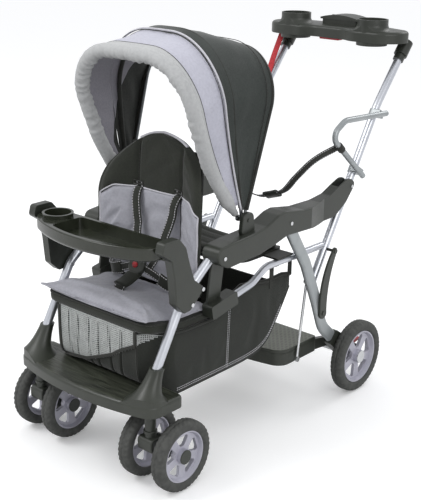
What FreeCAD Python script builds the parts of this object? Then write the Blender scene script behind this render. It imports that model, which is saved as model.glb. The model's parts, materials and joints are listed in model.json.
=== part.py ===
import FreeCAD, Part
import math
import os

# A sit and stand stroller: one padded seat with a hood and a tray in front, a bench and a
# standing platform behind, and one push handle that folds forward over a four bar frame.
# X runs across the stroller, +Y to its rear, +Z up. Heights are above the ground and fore and
# aft places are behind the front axle; the whole model is centred over the origin at the end.
# All lengths are millimetres and all angles degrees.

Vector = FreeCAD.Vector
UP = Vector(0, 0, 1)
ACROSS = Vector(1, 0, 0)
REARWARD = Vector(0, 1, 0)
HALF_TURN = 180
FULL_TURN = 360

# Clearances and cuts
SOFT_GAP = 0.3
RUNNING_FIT = 0.05
PRESS_GAP = 0.2
OVERRUN = 5.0

# Tubes and the two side planes that carry them
TUBE_RADIUS = 11.25
TUBE_WALL = 1.5
SIDE_X = 199.3
FRONT_TUBE_X = 196.5
TUBE_BEND_RADIUS = 60.0

# Wheels
WHEELBASE = 743.0
FRONT_WHEEL_RADIUS = 90.0
FRONT_WHEEL_WIDTH = 35.0
REAR_WHEEL_RADIUS = 104.5
REAR_WHEEL_WIDTH = 38.0
TWIN_WHEEL_GAP = 75.0
TYRE_DEPTH_SHARE = 0.27
SPOKE_COUNT = 5
HUB_RADIUS = 19.0
HUB_CAP_DEPTH = 5.0
RIM_WEB = 9.0
RIM_LIP = 4.0
WINDOW_ROOT_GAP = 7.0
WINDOW_EDGE_GAP = 2.0
WINDOW_SWEEP_SHARE = 0.68
WINDOW_ROOT_SHARE = 0.58
WINDOW_CORNER = 5.0
AXLE_RADIUS = 5.0
REAR_AXLE_RADIUS = 6.0
TREAD_COUNT = 24
TREAD_DEPTH = 2.2
TREAD_WIDTH = 8.0

# Casters
CASTER_TRAIL = 47.0
CASTER_STEM_RADIUS = 6.0
CASTER_BARREL_RADIUS = 14.0
CASTER_COLLAR_RADIUS = 17.0
CASTER_COLLAR_HEIGHT = 8.0
CASTER_BARREL_LOW = 120.0
CASTER_HOUSING_WIDTH = 48.0
CASTER_HOUSING_RADIUS = 21.0
CASTER_HOUSING_ROUND = 5.0
CASTER_TOP_GAP = 1.0
CASTER_STEM_LENGTH = 34.0

# Footrest
FOOTREST_HALF_WIDTH = 240.0
FOOTREST_FRONT = 118.0
FOOTREST_CORNER_FRONT = 80.0
FOOTREST_BACK = 26.0
FOOTREST_BOTTOM = 206.0
FOOTREST_THICKNESS = 30.0
FOOTREST_WALL = 3.5
FOOTREST_CORNER = 38.0
FOOTREST_REAR_CORNER = 18.0
FOOTREST_EDGE_ROUND = 10.0
SOCKET_TOP = 308.0
SOCKET_WALL = 7.0
SOCKET_FLARE = 46.0
SOCKET_FLARE_SHARES = [(0.0, 1.0), (0.14, 0.60), (0.32, 0.31), (0.55, 0.13), (0.8, 0.03), (1.0, 0.0)]
SOCKET_DEPTH = 48.0

# Front tubes: lower end in the footrest, one bend, upper end in the side moulding
FRONT_TUBE_LOW_Y = -48.0
FRONT_TUBE_LOW_Z = 262.0
FRONT_BEND_Y = 60.0
FRONT_BEND_Z = 453.0
FRONT_BOLT_Y = 168.0
FRONT_BOLT_Z = 538.0
FRONT_TUBE_PAST_BOLT = 12.0

# Side mouldings, drawn from the front bolt to the handle pivot
MOULDING_SPAN = 560.0
MOULDING_RISE = 67.0
MOULDING_HEIGHT = 75.0
MOULDING_CHEEK = 3.4
MOULDING_TUBE_GAP = 0.65
MOULDING_LEG_GAP = 2.6
MOULDING_TOP_SHARES = [(-0.04, 0.39), (0.06, 0.38), (0.2, 0.31), (0.285, 0.34), (0.37, 0.52),
                       (0.42, 0.53), (0.56, 0.24), (0.72, 0.08), (0.82, 0.08), (0.90, 0.26),
                       (0.955, 0.36)]
MOULDING_END_SHARES = [(0.99, 0.31), (1.03, 0.05), (0.985, -0.28), (0.955, -0.5), (0.865, -0.82)]
MOULDING_LOW_SHARES = [(0.72, -0.72), (0.565, -0.54), (0.44, -0.39), (0.345, -0.48),
                       (0.24, -0.53), (0.14, -0.47), (0.03, -0.42), (-0.04, -0.1)]
MOULDING_SLOT_START_SHARE = 0.40
MOULDING_ROOF_END_SHARE = 0.89
MOULDING_TAPER_SHARES = (0.62, 0.77)
MOULDING_ROOF = 8.0
MOULDING_EDGE = 5.0
BOLT_HEAD_RADIUS = 5.0
BOLT_HEAD_HEIGHT = 2.2
BOLT_SHANK_RADIUS = 3.0

# Handle: pivot, lean of the tubes below and above their bend
HANDLE_PIVOT_Y = FRONT_BOLT_Y + MOULDING_SPAN
HANDLE_PIVOT_Z = FRONT_BOLT_Z + MOULDING_RISE
HANDLE_LEAN = 31.0
HANDLE_UPPER_LEAN = 39.6
HANDLE_TAIL = 288.0
HANDLE_BEND_ABOVE = 240.0
HANDLE_UPPER_LENGTH = 212.0
HANDLE_BEND_RADIUS = 220.0
LINK_PIN_BELOW = 187.0

# Rear legs
LEG_PIVOT_SHARE = 0.4625
LEG_PIVOT_Y = FRONT_BOLT_Y + LEG_PIVOT_SHARE * MOULDING_SPAN
LEG_PIVOT_Z = FRONT_BOLT_Z + LEG_PIVOT_SHARE * MOULDING_RISE
LEG_WIDTH = 36.0
LEG_THICKNESS = 18.0
LEG_TUBE_GAP = 1.45
LEG_BEND_RADIUS = 90.0
LEG_ROUTE_SHARES = [(0.0, 0.0), (0.282, 0.288), (0.463, 0.554), (0.571, 0.736), (0.782, 0.870)]
LEG_PIN_SHARES = (0.515, 0.633)
LEG_X = SIDE_X + TUBE_RADIUS + LEG_TUBE_GAP + LEG_THICKNESS / 2
MOULDING_INNER_X = SIDE_X - TUBE_RADIUS - MOULDING_TUBE_GAP - MOULDING_CHEEK
MOULDING_OUTER_X = SIDE_X + TUBE_RADIUS + MOULDING_TUBE_GAP + MOULDING_CHEEK
MOULDING_WIDE_X = LEG_X + LEG_THICKNESS / 2 + MOULDING_LEG_GAP + MOULDING_CHEEK

# Links between rear legs and handle tubes
LINK_THICKNESS = 6.0
LINK_LOW_RADIUS = 16.0
LINK_TOP_RADIUS = 10.0
LINK_BOW = 15.0
LINK_MIDDLE_HALF = 15.5
LINK_PIN_RADIUS = 4.0
LINK_EDGE = 2.0
LINK_HEAD_RADIUS = 6.5
LINK_CLEARANCE = 1.2

# Rear axle, hub brackets and brakes
HUB_BRACKET_RADIUS = 24.0
HUB_BRACKET_REACH = 30.0
HUB_BRACKET_WIDTH = 22.0
HUB_WHEEL_GAP = 1.0
CROSS_TUBE_RADIUS = 9.0
BRAKE_LENGTH = 58.0
BRAKE_WIDTH = 20.0
BRAKE_THICKNESS = 5.0
BRAKE_PIVOT_BACK = 30.0
BRAKE_PIVOT_UP = 6.0
BRAKE_PIN_RADIUS = 3.0
BRAKE_BOSS_RADIUS = 6.5
HUB_INNER_X = LEG_X - LEG_THICKNESS * 2 / 3
HUB_OUTER_X = HUB_INNER_X + HUB_BRACKET_WIDTH
TRACK_WIDTH = 2 * (HUB_OUTER_X + HUB_WHEEL_GAP + REAR_WHEEL_WIDTH)

# Standing platform and its struts
PLATFORM_SIDE_GAP = 0.75
PLATFORM_ABOVE_AXLE = 70.0
PLATFORM_AHEAD_OF_AXLE = 97.0
PLATFORM_LENGTH = 184.0
PLATFORM_TOP = REAR_WHEEL_RADIUS + PLATFORM_ABOVE_AXLE
PLATFORM_REAR_Y = WHEELBASE - PLATFORM_AHEAD_OF_AXLE
PLATFORM_FRONT_Y = PLATFORM_REAR_Y - PLATFORM_LENGTH
PLATFORM_SKIRT = 46.0
PLATFORM_WALL = 3.0
PLATFORM_BOW = 26.0
PLATFORM_CORNER = 40.0
PLATFORM_EDGE_ROUND = 2.5
PLATFORM_LIP_DROP = 9.0
PLATFORM_GROOVE = 2.0
PLATFORM_REAR_CORNER = 7.0
PLATFORM_HINGE_UP = 26.0
PLATFORM_ARM_WIDTH = 14.0
PLATFORM_ARM_INSET = 6.0
PLATFORM_ARM_THICKNESS = 12.0
PLATFORM_EYE_RADIUS = 12.0
PLATFORM_RIB_COUNT = 5
STRUT_RADIUS = 4.0
STRUT_FOOT_AHEAD = 98.0
STRUT_FOOT_DROP = 38.5
STRUT_FOOT_Y = PLATFORM_REAR_Y - STRUT_FOOT_AHEAD
STRUT_FOOT_Z = PLATFORM_TOP - STRUT_FOOT_DROP
STRUT_EYE_RADIUS = 8.0
STRUT_EYE_THICKNESS = 10.0
STRUT_TAIL_X = SIDE_X - TUBE_RADIUS - SOFT_GAP - STRUT_EYE_THICKNESS / 2
PLATFORM_HALF_WIDTH = STRUT_TAIL_X - STRUT_RADIUS - PLATFORM_SIDE_GAP

# Seat rails and their front brackets
RAIL_HEIGHT = 457.0
RAIL_RADIUS = 9.5
RAIL_START_Y = 168.0
RAIL_START_Z = 398.0
RAIL_KNEE_Y = 318.0
RAIL_KNEE_Z = 426.0
RAIL_TURN_Y = 374.0
RAIL_END_Y = 604.0
RAIL_BEND_RADIUS = 55.0
RAIL_CAP_LENGTH = 14.0
BRACKET_LENGTH = 96.0
BRACKET_HEIGHT = 36.0
BRACKET_INNER_X = 181.0
BRACKET_OUTER_X = 214.0
HANGER_THICKNESS = 6.0
HANGER_WIDTH = 46.0

# Front seat: board, pad, back
SEAT_HALF_WIDTH = 176.0
SEAT_FRONT_Y = -36.0
SEAT_REAR_Y = 196.0
SEAT_BOARD_BOTTOM = 364.0
SEAT_BOARD_THICKNESS = 22.0
SEAT_FRONT_LIFT = 0.0
SEAT_PAD_THICKNESS = 34.0
SEAT_PAD_CROWN = 10.0
SEAT_PAD_OVERHANG = 6.0
SEAT_CORNER = 30.0
SEAT_WIDTH_SHARES = [0.90, 0.985, 0.965, 0.985, 0.92]
SEAT_STATION_SHARES = [0.0, 0.12, 0.5, 0.88, 1.0]
SEAT_DEPTH_SHARES = [0.45, 0.95, 1.0, 0.95, 0.5]
SEAT_LUG_WIDTH = 26.0

BACK_HINGE_Y = 212.0
BACK_HINGE_Z = 392.0
BACK_HEIGHT = 414.0
BACK_LEAN = 2.5
BACK_HALF_WIDTH = 172.0
BACK_WING = 62.0
BACK_PAD_THICKNESS = 24.0
BACK_BOARD_THICKNESS = 6.0
BACK_BOARD_HALF_WIDTH = 120.0
BACK_START = 16.0
BACK_STATION_SHARES = [0.0, 0.12, 0.42, 0.68, 0.84, 0.94, 1.0]
BACK_WIDTH_SHARES = [0.80, 0.92, 1.0, 0.97, 0.80, 0.56, 0.24]
BACK_WING_SHARES = [0.04, 0.45, 1.0, 0.85, 0.42, 0.16, 0.05]
BACK_DEPTH_SHARES = [0.6, 1.0, 1.0, 1.0, 1.0, 0.9, 0.5]
BACK_PIN_RADIUS = 6.0
BACK_PIN_LENGTH = 16.0
BACK_EAR_THICKNESS = 6.0
STRAP_WIDTH = 24.0
STRAP_THICKNESS = 2.0
SHOULDER_X = 52.0
SHOULDER_SLOT_UP = 262.0
SHOULDER_ROUTE_SHARES = (1.0, 0.72, 0.46, 0.24)
SHOULDER_DRAW_SHARE = 0.7
BUCKLE_WIDTH = 44.0
BUCKLE_DEPTH = 34.0
BUCKLE_THICKNESS = 16.0
BUCKLE_Y = 74.0
CROTCH_REAR_Y = 140.0

# Tray and its arms
TRAY_HALF_WIDTH = 205.0
TRAY_REAR_Y = 30.0
TRAY_MID_FRONT_Y = -100.0
TRAY_SIDE_FRONT_Y = -44.0
TRAY_RIM_Z = 604.0
TRAY_DEPTH = 34.0
TRAY_WALL = 3.0
TRAY_CORNER = 62.0
TRAY_REAR_CORNER = 16.0
TRAY_UNDER_ROUND = 11.0
TRAY_RIM_WIDTH = 11.0
TRAY_RIM_ROUND = 3.0
TRAY_CUP_SHELF = 12.0
TRAY_FLOOR_UP = 8.0
TRAY_CUP_X = -150.0
TRAY_CUP_Y = -14.0
TRAY_CUP_RADIUS = 36.0
TRAY_CUP_RISE = 10.0
TRAY_CUP_DEPTH = 46.0
ARM_INNER_X = 208.2
ARM_OUTER_X = 232.0
ARM_HEIGHT = 186.0
ARM_WIDTH = 96.0
ARM_LOW_Y = 4.0
ARM_LOW_Z = 436.0
ARM_OUTLINE_SHARES = [(0.30, 0.0), (0.52, 0.01), (0.93, 0.20), (0.93, 0.29), (0.66, 0.40),
                      (0.50, 0.62), (0.36, 0.86), (0.12, 1.0), (-0.40, 1.0), (-0.47, 0.86),
                      (-0.14, 0.74), (-0.05, 0.50), (0.02, 0.14)]
ARM_CORNER = 9.0
ARM_WALL = 3.0
ARM_BOLT_LOW_SHARES = (0.36, 0.08)
ARM_BOLT_TOP_SHARES = (0.84, 0.24)
TRAY_LATCH_LENGTH = 40.0
TRAY_LATCH_HEIGHT = 10.0

# Basket
BASKET_HALF_WIDTH = BRACKET_INNER_X - 2 * SOFT_GAP
BASKET_FRONT_HALF_WIDTH = 136.0
BASKET_FRONT_Y = -26.0
BASKET_SHOULDER_Y = 60.0
BASKET_BELOW_SEAT = 2.0
BASKET_TOP = SEAT_BOARD_BOTTOM - BASKET_BELOW_SEAT
BASKET_FLOOR = 205.0
BASKET_STRUT_GAP = 34.0
BASKET_LENGTH = STRUT_FOOT_Y - BASKET_STRUT_GAP - BASKET_FRONT_Y
BASKET_WALL = 3.0
BASKET_OUTLINE_SHARES = [(0.0, 1.0), (0.125, 0.0), (0.20, -0.02), (0.665, 0.02), (0.80, 0.14),
                         (0.87, 0.43), (1.0, 1.08), (0.975, 1.30), (0.81, 1.27), (0.60, 1.40),
                         (0.45, 1.14), (0.42, 1.0)]
BASKET_CORNER = 26.0
BASKET_HANG_SHARES = [(0.83, 1.20), (0.975, 1.30)]
NET_THICKNESS = 1.6
NET_COLUMNS = 18
NET_ROWS = 12
NET_BAR = 3.0
NET_MARGIN = 10.0
HANGER_STRAP_WIDTH = 16.0
HANGER_STRAP_THICKNESS = 2.0

# Bench seat behind
BENCH_HALF_WIDTH = 160.0
BENCH_FRONT_Y = 336.0
BENCH_REAR_Y = 500.0
BENCH_PAD_THICKNESS = 14.0
BENCH_BOARD_THICKNESS = 9.0
BENCH_SAG = 16.0
BENCH_FOOT_HEIGHT = 12.0
BENCH_FOOT_WIDTH = 18.0
BENCH_CORNER = 24.0
BENCH_RIM = 6.0

# Hood
HOOD_PIVOT_SHARES = (0.193, 0.734)
HOOD_PIVOT_Y = FRONT_BOLT_Y + HOOD_PIVOT_SHARES[0] * MOULDING_SPAN
HOOD_PIVOT_Z = FRONT_BOLT_Z + HOOD_PIVOT_SHARES[0] * MOULDING_RISE + HOOD_PIVOT_SHARES[1] * MOULDING_HEIGHT
HOOD_BASE_HALF_WIDTH = 202.0
BOW_RADIUS = 4.0
BACK_BOW_ANGLE = 75.0
BACK_BOW_REACH = 402.0
BACK_BOW_HALF_WIDTH = 206.0
BACK_BOW_CORNER = 110.0
MIDDLE_BOW_ANGLE = 96.0
MIDDLE_BOW_REACH = 436.0
MIDDLE_BOW_HALF_WIDTH = 194.0
MIDDLE_BOW_CORNER = 150.0
FRONT_BOW_ANGLE = 117.0
FRONT_BOW_REACH = 438.0
FRONT_BOW_HALF_WIDTH = 184.0
FRONT_BOW_CORNER = 118.0
BOW_STACK = 9.0
BOW_CROWN_SHARE = 0.07
HOOD_CLOTH = 2.0
HOOD_CLOTH_GAP = 1.6
ROLL_RADIUS = 19.0
ROLL_START = 76.0
ROLL_TIP_START = 42.0
ROLL_TIP_RADIUS = 8.0
HOOD_BRACKET_WIDTH = 38.0
HOOD_BRACKET_HEIGHT = 44.0
HOOD_BRACKET_THICKNESS = 12.0
HOOD_BRACKET_EDGE = 3.0
CLOTH_START = 40.0

# Console on the handle
CONSOLE_HALF_WIDTH = 226.0
CONSOLE_AHEAD_OF_TUBE = 121.0
CONSOLE_BEHIND_TUBE = 18.0
CONSOLE_ABOVE_TUBE = 2.0
CONSOLE_HEIGHT = 32.0
CONSOLE_WALL = 3.0
CONSOLE_CORNER = 44.0
CONSOLE_WAIST = 18.0
CONSOLE_TURN = 60.0
CONSOLE_SIDE_WALL = 4.5
CONSOLE_EDGE = 9.0
CONSOLE_OUTLINE_SHARES = (0.30, 0.62, 0.82, 0.38, 0.24)
CUP_X = 133.0
CUP_BEHIND_FRONT = 44.0
CUP_RISE = 29.5
CUP_RADIUS = 39.0
CUP_WALL = 4.5
CUP_DROP = 10.0
CUP_FLARE = 15.0
CUP_SHOULDER_SHARE = 0.62
CUP_SHOULDER_SHARES = [(0.0, 1.0), (0.3, 0.42), (0.65, 0.1), (1.0, 0.0)]
BIN_HALF_WIDTH = 62.0
BIN_LENGTH = 64.0
BIN_WALL = 3.0
BIN_RISE = 14.0
LID_THICKNESS = 5.0
LID_RISE = 9.0
LID_KNUCKLE_RADIUS = 4.0
LID_PIN_RADIUS = 2.0
SLEEVE_LENGTH = 62.0
SLEEVE_WALL = 8.0
SLEEVE_STEP_SHARE = 0.72
TRIGGER_HALF_WIDTH = 34.0
TRIGGER_DEPTH = 24.0
TRIGGER_THICKNESS = 12.0
TRIGGER_BEHIND_FRONT = 36.0
BUTTON_X = 84.0
BUTTON_AHEAD_OF_REAR = 26.0
BUTTON_RADIUS = 8.0
BUTTON_RISE = 5.0
BUTTON_DEPTH = 10.0

# Grab bars outside the handle tubes, drawn from the bar's foot
GRAB_X = 224.0
GRAB_RADIUS = 8.0
GRAB_FOOT_BEHIND = 37.0
GRAB_FOOT_ABOVE = 24.0
GRAB_LENGTH = 265.0
GRAB_HEIGHT = 169.0
GRAB_ROUTE_SHARES = [(0.377, 0.955), (-0.381, 1.0), (-0.615, 0.80), (0.0, 0.0)]
GRAB_BEND_RADIUS = 42.0
GRAB_LOW_CLAMP_ALONG = 46.0
GRAB_TOP_CLAMP_ALONG = 217.0
CLAMP_LENGTH = 18.0
CLAMP_WALL = 2.5

# Rear passenger's belt and the red fold strap
BELT_WIDTH = 25.0
BELT_THICKNESS = 2.0
BELT_SAG = 62.0
BELT_LOOP_SHARE = 0.27
BELT_BUCKLE_LENGTH = 52.0
BELT_BUCKLE_HEIGHT = 30.0
BELT_BUCKLE_THICKNESS = 12.0
FOLD_STRAP_WIDTH = 22.0
FOLD_STRAP_THICKNESS = 2.0
FOLD_STRAP_OFFSET = 34.0
FOLD_STRAP_LENGTH = 138.0


def point(x, y, z):
    return Vector(x, y, z)


def rounded_wire(corners, radii, closed=True):
    """Straight runs joined by tangent arcs; radii holds one radius per corner."""
    count = len(corners)
    edges = []
    previous_end = None
    first_start = None
    inner = range(count) if closed else range(1, count - 1)
    if not closed:
        previous_end = corners[0]
    for index in inner:
        corner = corners[index]
        back = corners[index - 1] - corner
        ahead = corners[(index + 1) % count] - corner
        turn = back.getAngle(ahead)
        radius = radii[index]
        cut = radius / math.tan(turn / 2) if turn < math.pi * 0.999 else 0
        cut = min(cut, back.Length * 0.49, ahead.Length * 0.49)
        back.normalize()
        ahead.normalize()
        start = corner + back * cut
        end = corner + ahead * cut
        if previous_end is not None and (start - previous_end).Length > 1e-6:
            edges.append(Part.LineSegment(previous_end, start).toShape())
        if first_start is None:
            first_start = start
        if cut > 1e-6:
            bisector = back + ahead
            bisector.normalize()
            true_radius = cut * math.tan(turn / 2)
            reach = true_radius / math.sin(turn / 2) - true_radius
            edges.append(Part.Arc(start, corner + bisector * reach, end).toShape())
        previous_end = end
    last = first_start if closed else corners[-1]
    if (last - previous_end).Length > 1e-6:
        edges.append(Part.LineSegment(previous_end, last).toShape())
    return Part.Wire(edges)


def sweep(path, direction, radius):
    circle = Part.Circle(path.Vertexes[0].Point, direction, radius)
    return path.makePipeShell([Part.Wire(circle.toShape())], True, False)


def tube(corners, bend_radius, radius, wall=0):
    """A round tube, bent in tangent arcs along the corners."""
    path = rounded_wire(corners, [bend_radius] * len(corners), closed=False)
    direction = corners[1] - corners[0]
    body = sweep(path, direction, radius)
    if wall > 0:
        body = body.cut(sweep(path, direction, radius - wall))
    return body


def rod(start, end, radius):
    axis = end - start
    return Part.makeCylinder(radius, axis.Length, start, axis)


def box(low_x, high_x, low_y, high_y, low_z, high_z):
    return Part.makeBox(high_x - low_x, high_y - low_y, high_z - low_z,
                        point(low_x, low_y, low_z))


def side_plate(corners, radius, low_x, high_x):
    """A plate drawn in side view, from (y, z) corners, between two x faces."""
    points = [point(low_x, y, z) for y, z in corners]
    wire = rounded_wire(points, [radius] * len(points))
    return Part.Face(wire).extrude(ACROSS * (high_x - low_x))


def plan_plate(corners, radius, low_z, high_z):
    """A plate drawn from above, from (x, y) corners, between two heights; one radius or one each."""
    points = [point(x, y, low_z) for x, y in corners]
    radii = radius if isinstance(radius, list) else [radius] * len(points)
    wire = rounded_wire(points, radii)
    return Part.Face(wire).extrude(UP * (high_z - low_z))


def bowed_plate(half, rear, side_front, middle_front, front_corner, rear_corner, low_z, high_z):
    """A plate in plan with straight sides and rear edge, and a front edge bowed out to its middle."""
    rise = side_front - middle_front
    bow_radius = (half * half + rise * rise) / (2 * rise)
    blank = box(-half, half, middle_front, rear, low_z, high_z)
    body = blank.common(Part.makeCylinder(bow_radius, high_z - low_z, point(0, middle_front + bow_radius, low_z)))
    for y, radius in ((side_front, front_corner), (rear, rear_corner)):
        for x in (-half, half):
            body = rounded(body, radius,
                           lambda edge: all(abs(v.Y - y) < 1e-3 and abs(v.X - x) < 1e-3 for v in edge.Vertexes))
    return body


def mirrored(shape):
    return shape.mirror(Vector(0, 0, 0), ACROSS)


def both_sides(shape):
    return Part.makeCompound([shape, mirrored(shape)])


def fused(shapes):
    body = shapes[0]
    if len(shapes) > 1:
        body = body.fuse(shapes[1:])
    return body.removeSplitter()


def rounded(shape, radius, chosen):
    """Round the edges that the test picks, and keep the shape where a wall is too thin for it."""
    edges = [edge for edge in shape.Edges if chosen(edge)]
    return shape.makeFillet(radius, edges) if edges else shape


def symmetric(half):
    """Corners for both sides from the +x ones, in order from rear to front."""
    return half + [(-x, y) for x, y in reversed(half)]


def along_handle(distance, x=SIDE_X):
    """A point on the lower handle tube's axis, measured up from the pivot."""
    lean = math.radians(HANDLE_LEAN)
    return point(x, HANDLE_PIVOT_Y + distance * math.sin(lean),
                 HANDLE_PIVOT_Z + distance * math.cos(lean))


def along_upper_handle(distance, x=SIDE_X):
    """A point on the upper handle tube's axis, measured up from its bend."""
    lean = math.radians(HANDLE_UPPER_LEAN)
    bend = along_handle(HANDLE_BEND_ABOVE, x)
    return bend + point(0, distance * math.sin(lean), distance * math.cos(lean))


TUBE_TOP = along_upper_handle(HANDLE_UPPER_LENGTH)
CONSOLE_FRONT_Y = TUBE_TOP.y - CONSOLE_AHEAD_OF_TUBE
CONSOLE_REAR_Y = TUBE_TOP.y + CONSOLE_BEHIND_TUBE
CONSOLE_BOTTOM = TUBE_TOP.z + CONSOLE_ABOVE_TUBE
CONSOLE_TOP = CONSOLE_BOTTOM + CONSOLE_HEIGHT
CUP_Y = CONSOLE_FRONT_Y + CUP_BEHIND_FRONT
CUP_RIM_Z = CONSOLE_TOP + CUP_RISE
CUP_FLOOR_Z = CONSOLE_BOTTOM - CUP_DROP
BIN_REAR_Y = CONSOLE_REAR_Y - CONSOLE_WALL
BIN_FRONT_Y = BIN_REAR_Y - BIN_LENGTH
BIN_RIM_Z = CONSOLE_TOP + BIN_RISE
TRIGGER_Y = CONSOLE_FRONT_Y + TRIGGER_BEHIND_FRONT
BUTTON_Y = CONSOLE_REAR_Y - BUTTON_AHEAD_OF_REAR


def leg_point(reach_share, drop_share):
    return point(LEG_X, LEG_PIVOT_Y + reach_share * (WHEELBASE - LEG_PIVOT_Y),
                 LEG_PIVOT_Z - drop_share * (LEG_PIVOT_Z - REAR_WHEEL_RADIUS))


def wheel(radius, width, hub_bore, centre):
    """A tyre and a spoked rim about the x axis through the centre."""
    rim_radius = radius * (1 - TYRE_DEPTH_SHARE)
    half = width / 2
    crown = half * 0.8
    shoulder = radius - half * 0.45
    section = [point(-half, rim_radius + RIM_LIP, 0), point(-half, shoulder, 0),
               point(-crown * 0.55, radius, 0), point(crown * 0.55, radius, 0),
               point(half, shoulder, 0), point(half, rim_radius + RIM_LIP, 0),
               point(half - RIM_LIP, rim_radius, 0), point(RIM_LIP - half, rim_radius, 0)]
    radii = [0, half * 0.7, half * 0.7, half * 0.7, half * 0.7, 0, 0, 0]
    face = Part.Face(rounded_wire(section, radii))
    tyre = face.revolve(Vector(0, 0, 0), ACROSS, FULL_TURN)
    notch = box(-TREAD_WIDTH, TREAD_WIDTH, -TREAD_WIDTH / 4, TREAD_WIDTH / 4,
                radius - TREAD_DEPTH, radius + OVERRUN)
    cuts = []
    for index in range(TREAD_COUNT):
        cut = notch.copy()
        side = crown * 0.62 if index % 2 else -crown * 0.62
        cut.translate(point(side, 0, 0))
        cut.rotate(Vector(0, 0, 0), ACROSS, FULL_TURN * index / TREAD_COUNT)
        cuts.append(cut)
    tyre = tyre.cut(Part.makeCompound(cuts))

    outer = rim_radius - PRESS_GAP / 10
    profile = [point(RIM_LIP - half, outer, 0), point(half - RIM_LIP, outer, 0),
               point(half - RIM_LIP, outer - RIM_LIP, 0), point(RIM_WEB / 2, outer - RIM_LIP * 2, 0),
               point(RIM_WEB / 2, HUB_RADIUS, 0), point(half - HUB_CAP_DEPTH / 2, HUB_RADIUS, 0),
               point(half - HUB_CAP_DEPTH / 2, hub_bore, 0), point(HUB_CAP_DEPTH / 2 - half, hub_bore, 0),
               point(HUB_CAP_DEPTH / 2 - half, HUB_RADIUS, 0), point(-RIM_WEB / 2, HUB_RADIUS, 0),
               point(-RIM_WEB / 2, outer - RIM_LIP * 2, 0), point(RIM_LIP - half, outer - RIM_LIP, 0)]
    rim = Part.Face(Part.makePolygon(profile + profile[:1])).revolve(Vector(0, 0, 0), ACROSS, FULL_TURN)
    inner_arc = HUB_RADIUS + WINDOW_ROOT_GAP
    outer_arc = outer - RIM_LIP * 2 - WINDOW_EDGE_GAP
    sweep_angle = math.pi / SPOKE_COUNT * WINDOW_SWEEP_SHARE
    narrow = sweep_angle * WINDOW_ROOT_SHARE
    corners = [(inner_arc * math.sin(narrow), inner_arc * math.cos(narrow)),
               (outer_arc * math.sin(sweep_angle), outer_arc * math.cos(sweep_angle)),
               (-outer_arc * math.sin(sweep_angle), outer_arc * math.cos(sweep_angle)),
               (-inner_arc * math.sin(narrow), inner_arc * math.cos(narrow))]
    window = side_plate(corners, WINDOW_CORNER, -width, width)
    windows = []
    for index in range(SPOKE_COUNT):
        cut = window.copy()
        cut.rotate(Vector(0, 0, 0), ACROSS, FULL_TURN * index / SPOKE_COUNT)
        windows.append(cut)
    rim = rim.cut(Part.makeCompound(windows))
    for piece in (tyre, rim):
        piece.translate(centre)
    return tyre, rim


def front_wheel_places():
    outer = TRACK_WIDTH / 2 - FRONT_WHEEL_WIDTH / 2
    inner = TRACK_WIDTH / 2 - FRONT_WHEEL_WIDTH * 1.5 - TWIN_WHEEL_GAP
    return outer, inner


def caster_x():
    outer, inner = front_wheel_places()
    return (outer + inner) / 2


def caster_fork():
    """Swivel stem, barrel and housing, with the twin wheels' axle through it."""
    x = caster_x()
    stem_y = -CASTER_TRAIL
    top = FOOTREST_BOTTOM - CASTER_TOP_GAP
    barrel = Part.makeCylinder(CASTER_BARREL_RADIUS, top - CASTER_BARREL_LOW,
                               point(x, stem_y, CASTER_BARREL_LOW))
    collars = []
    for collar_low in (top - CASTER_COLLAR_HEIGHT * 2, CASTER_BARREL_LOW + CASTER_HOUSING_RADIUS + CASTER_COLLAR_HEIGHT):
        ring = Part.makeCylinder(CASTER_COLLAR_RADIUS, CASTER_COLLAR_HEIGHT, point(x, stem_y, collar_low))
        collars.append(rounded(ring, CASTER_COLLAR_HEIGHT / 4, lambda edge: len(edge.Vertexes) == 1))
    stem = Part.makeCylinder(CASTER_STEM_RADIUS, CASTER_STEM_LENGTH + CASTER_TOP_GAP,
                             point(x, stem_y, top))
    half = CASTER_HOUSING_WIDTH / 2
    housing = side_plate([(stem_y - CASTER_HOUSING_RADIUS, CASTER_BARREL_LOW + CASTER_HOUSING_RADIUS),
                          (stem_y - CASTER_HOUSING_RADIUS, CASTER_BARREL_LOW - CASTER_HOUSING_RADIUS / 2),
                          (-CASTER_HOUSING_RADIUS / 2, FRONT_WHEEL_RADIUS - CASTER_HOUSING_RADIUS),
                          (CASTER_HOUSING_RADIUS, FRONT_WHEEL_RADIUS - CASTER_HOUSING_RADIUS / 2),
                          (CASTER_HOUSING_RADIUS, FRONT_WHEEL_RADIUS + CASTER_HOUSING_RADIUS),
                          (stem_y + CASTER_HOUSING_RADIUS, CASTER_BARREL_LOW + CASTER_HOUSING_RADIUS)],
                         CASTER_HOUSING_RADIUS / 2, x - half, x + half)
    housing = rounded(housing, CASTER_HOUSING_ROUND,
                      lambda edge: all(abs(abs(v.X - x) - half) < 1e-3 for v in edge.Vertexes))
    outer, inner = front_wheel_places()
    near = inner - FRONT_WHEEL_WIDTH / 2
    far = outer + FRONT_WHEEL_WIDTH / 2
    axle = rod(point(near, 0, FRONT_WHEEL_RADIUS), point(far, 0, FRONT_WHEEL_RADIUS), AXLE_RADIUS)
    caps = [axle_cap(near, 1, 0, FRONT_WHEEL_RADIUS), axle_cap(far, -1, 0, FRONT_WHEEL_RADIUS)]
    return fused([barrel, stem, housing, axle] + collars + caps)


def axle_cap(end, inward, y, z):
    """The round cap on an axle's end, just clear of the hub that turns beside it."""
    depth = HUB_CAP_DEPTH / 2 - SOFT_GAP
    return rod(point(end, y, z), point(end + inward * depth, y, z), HUB_RADIUS - RIM_LIP / 4)


def footrest_plan(inset, low_z, high_z):
    return bowed_plate(FOOTREST_HALF_WIDTH - inset, FOOTREST_BACK - inset, inset - FOOTREST_CORNER_FRONT,
                       inset - FOOTREST_FRONT, FOOTREST_CORNER - inset, FOOTREST_REAR_CORNER - inset, low_z, high_z)


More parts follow.
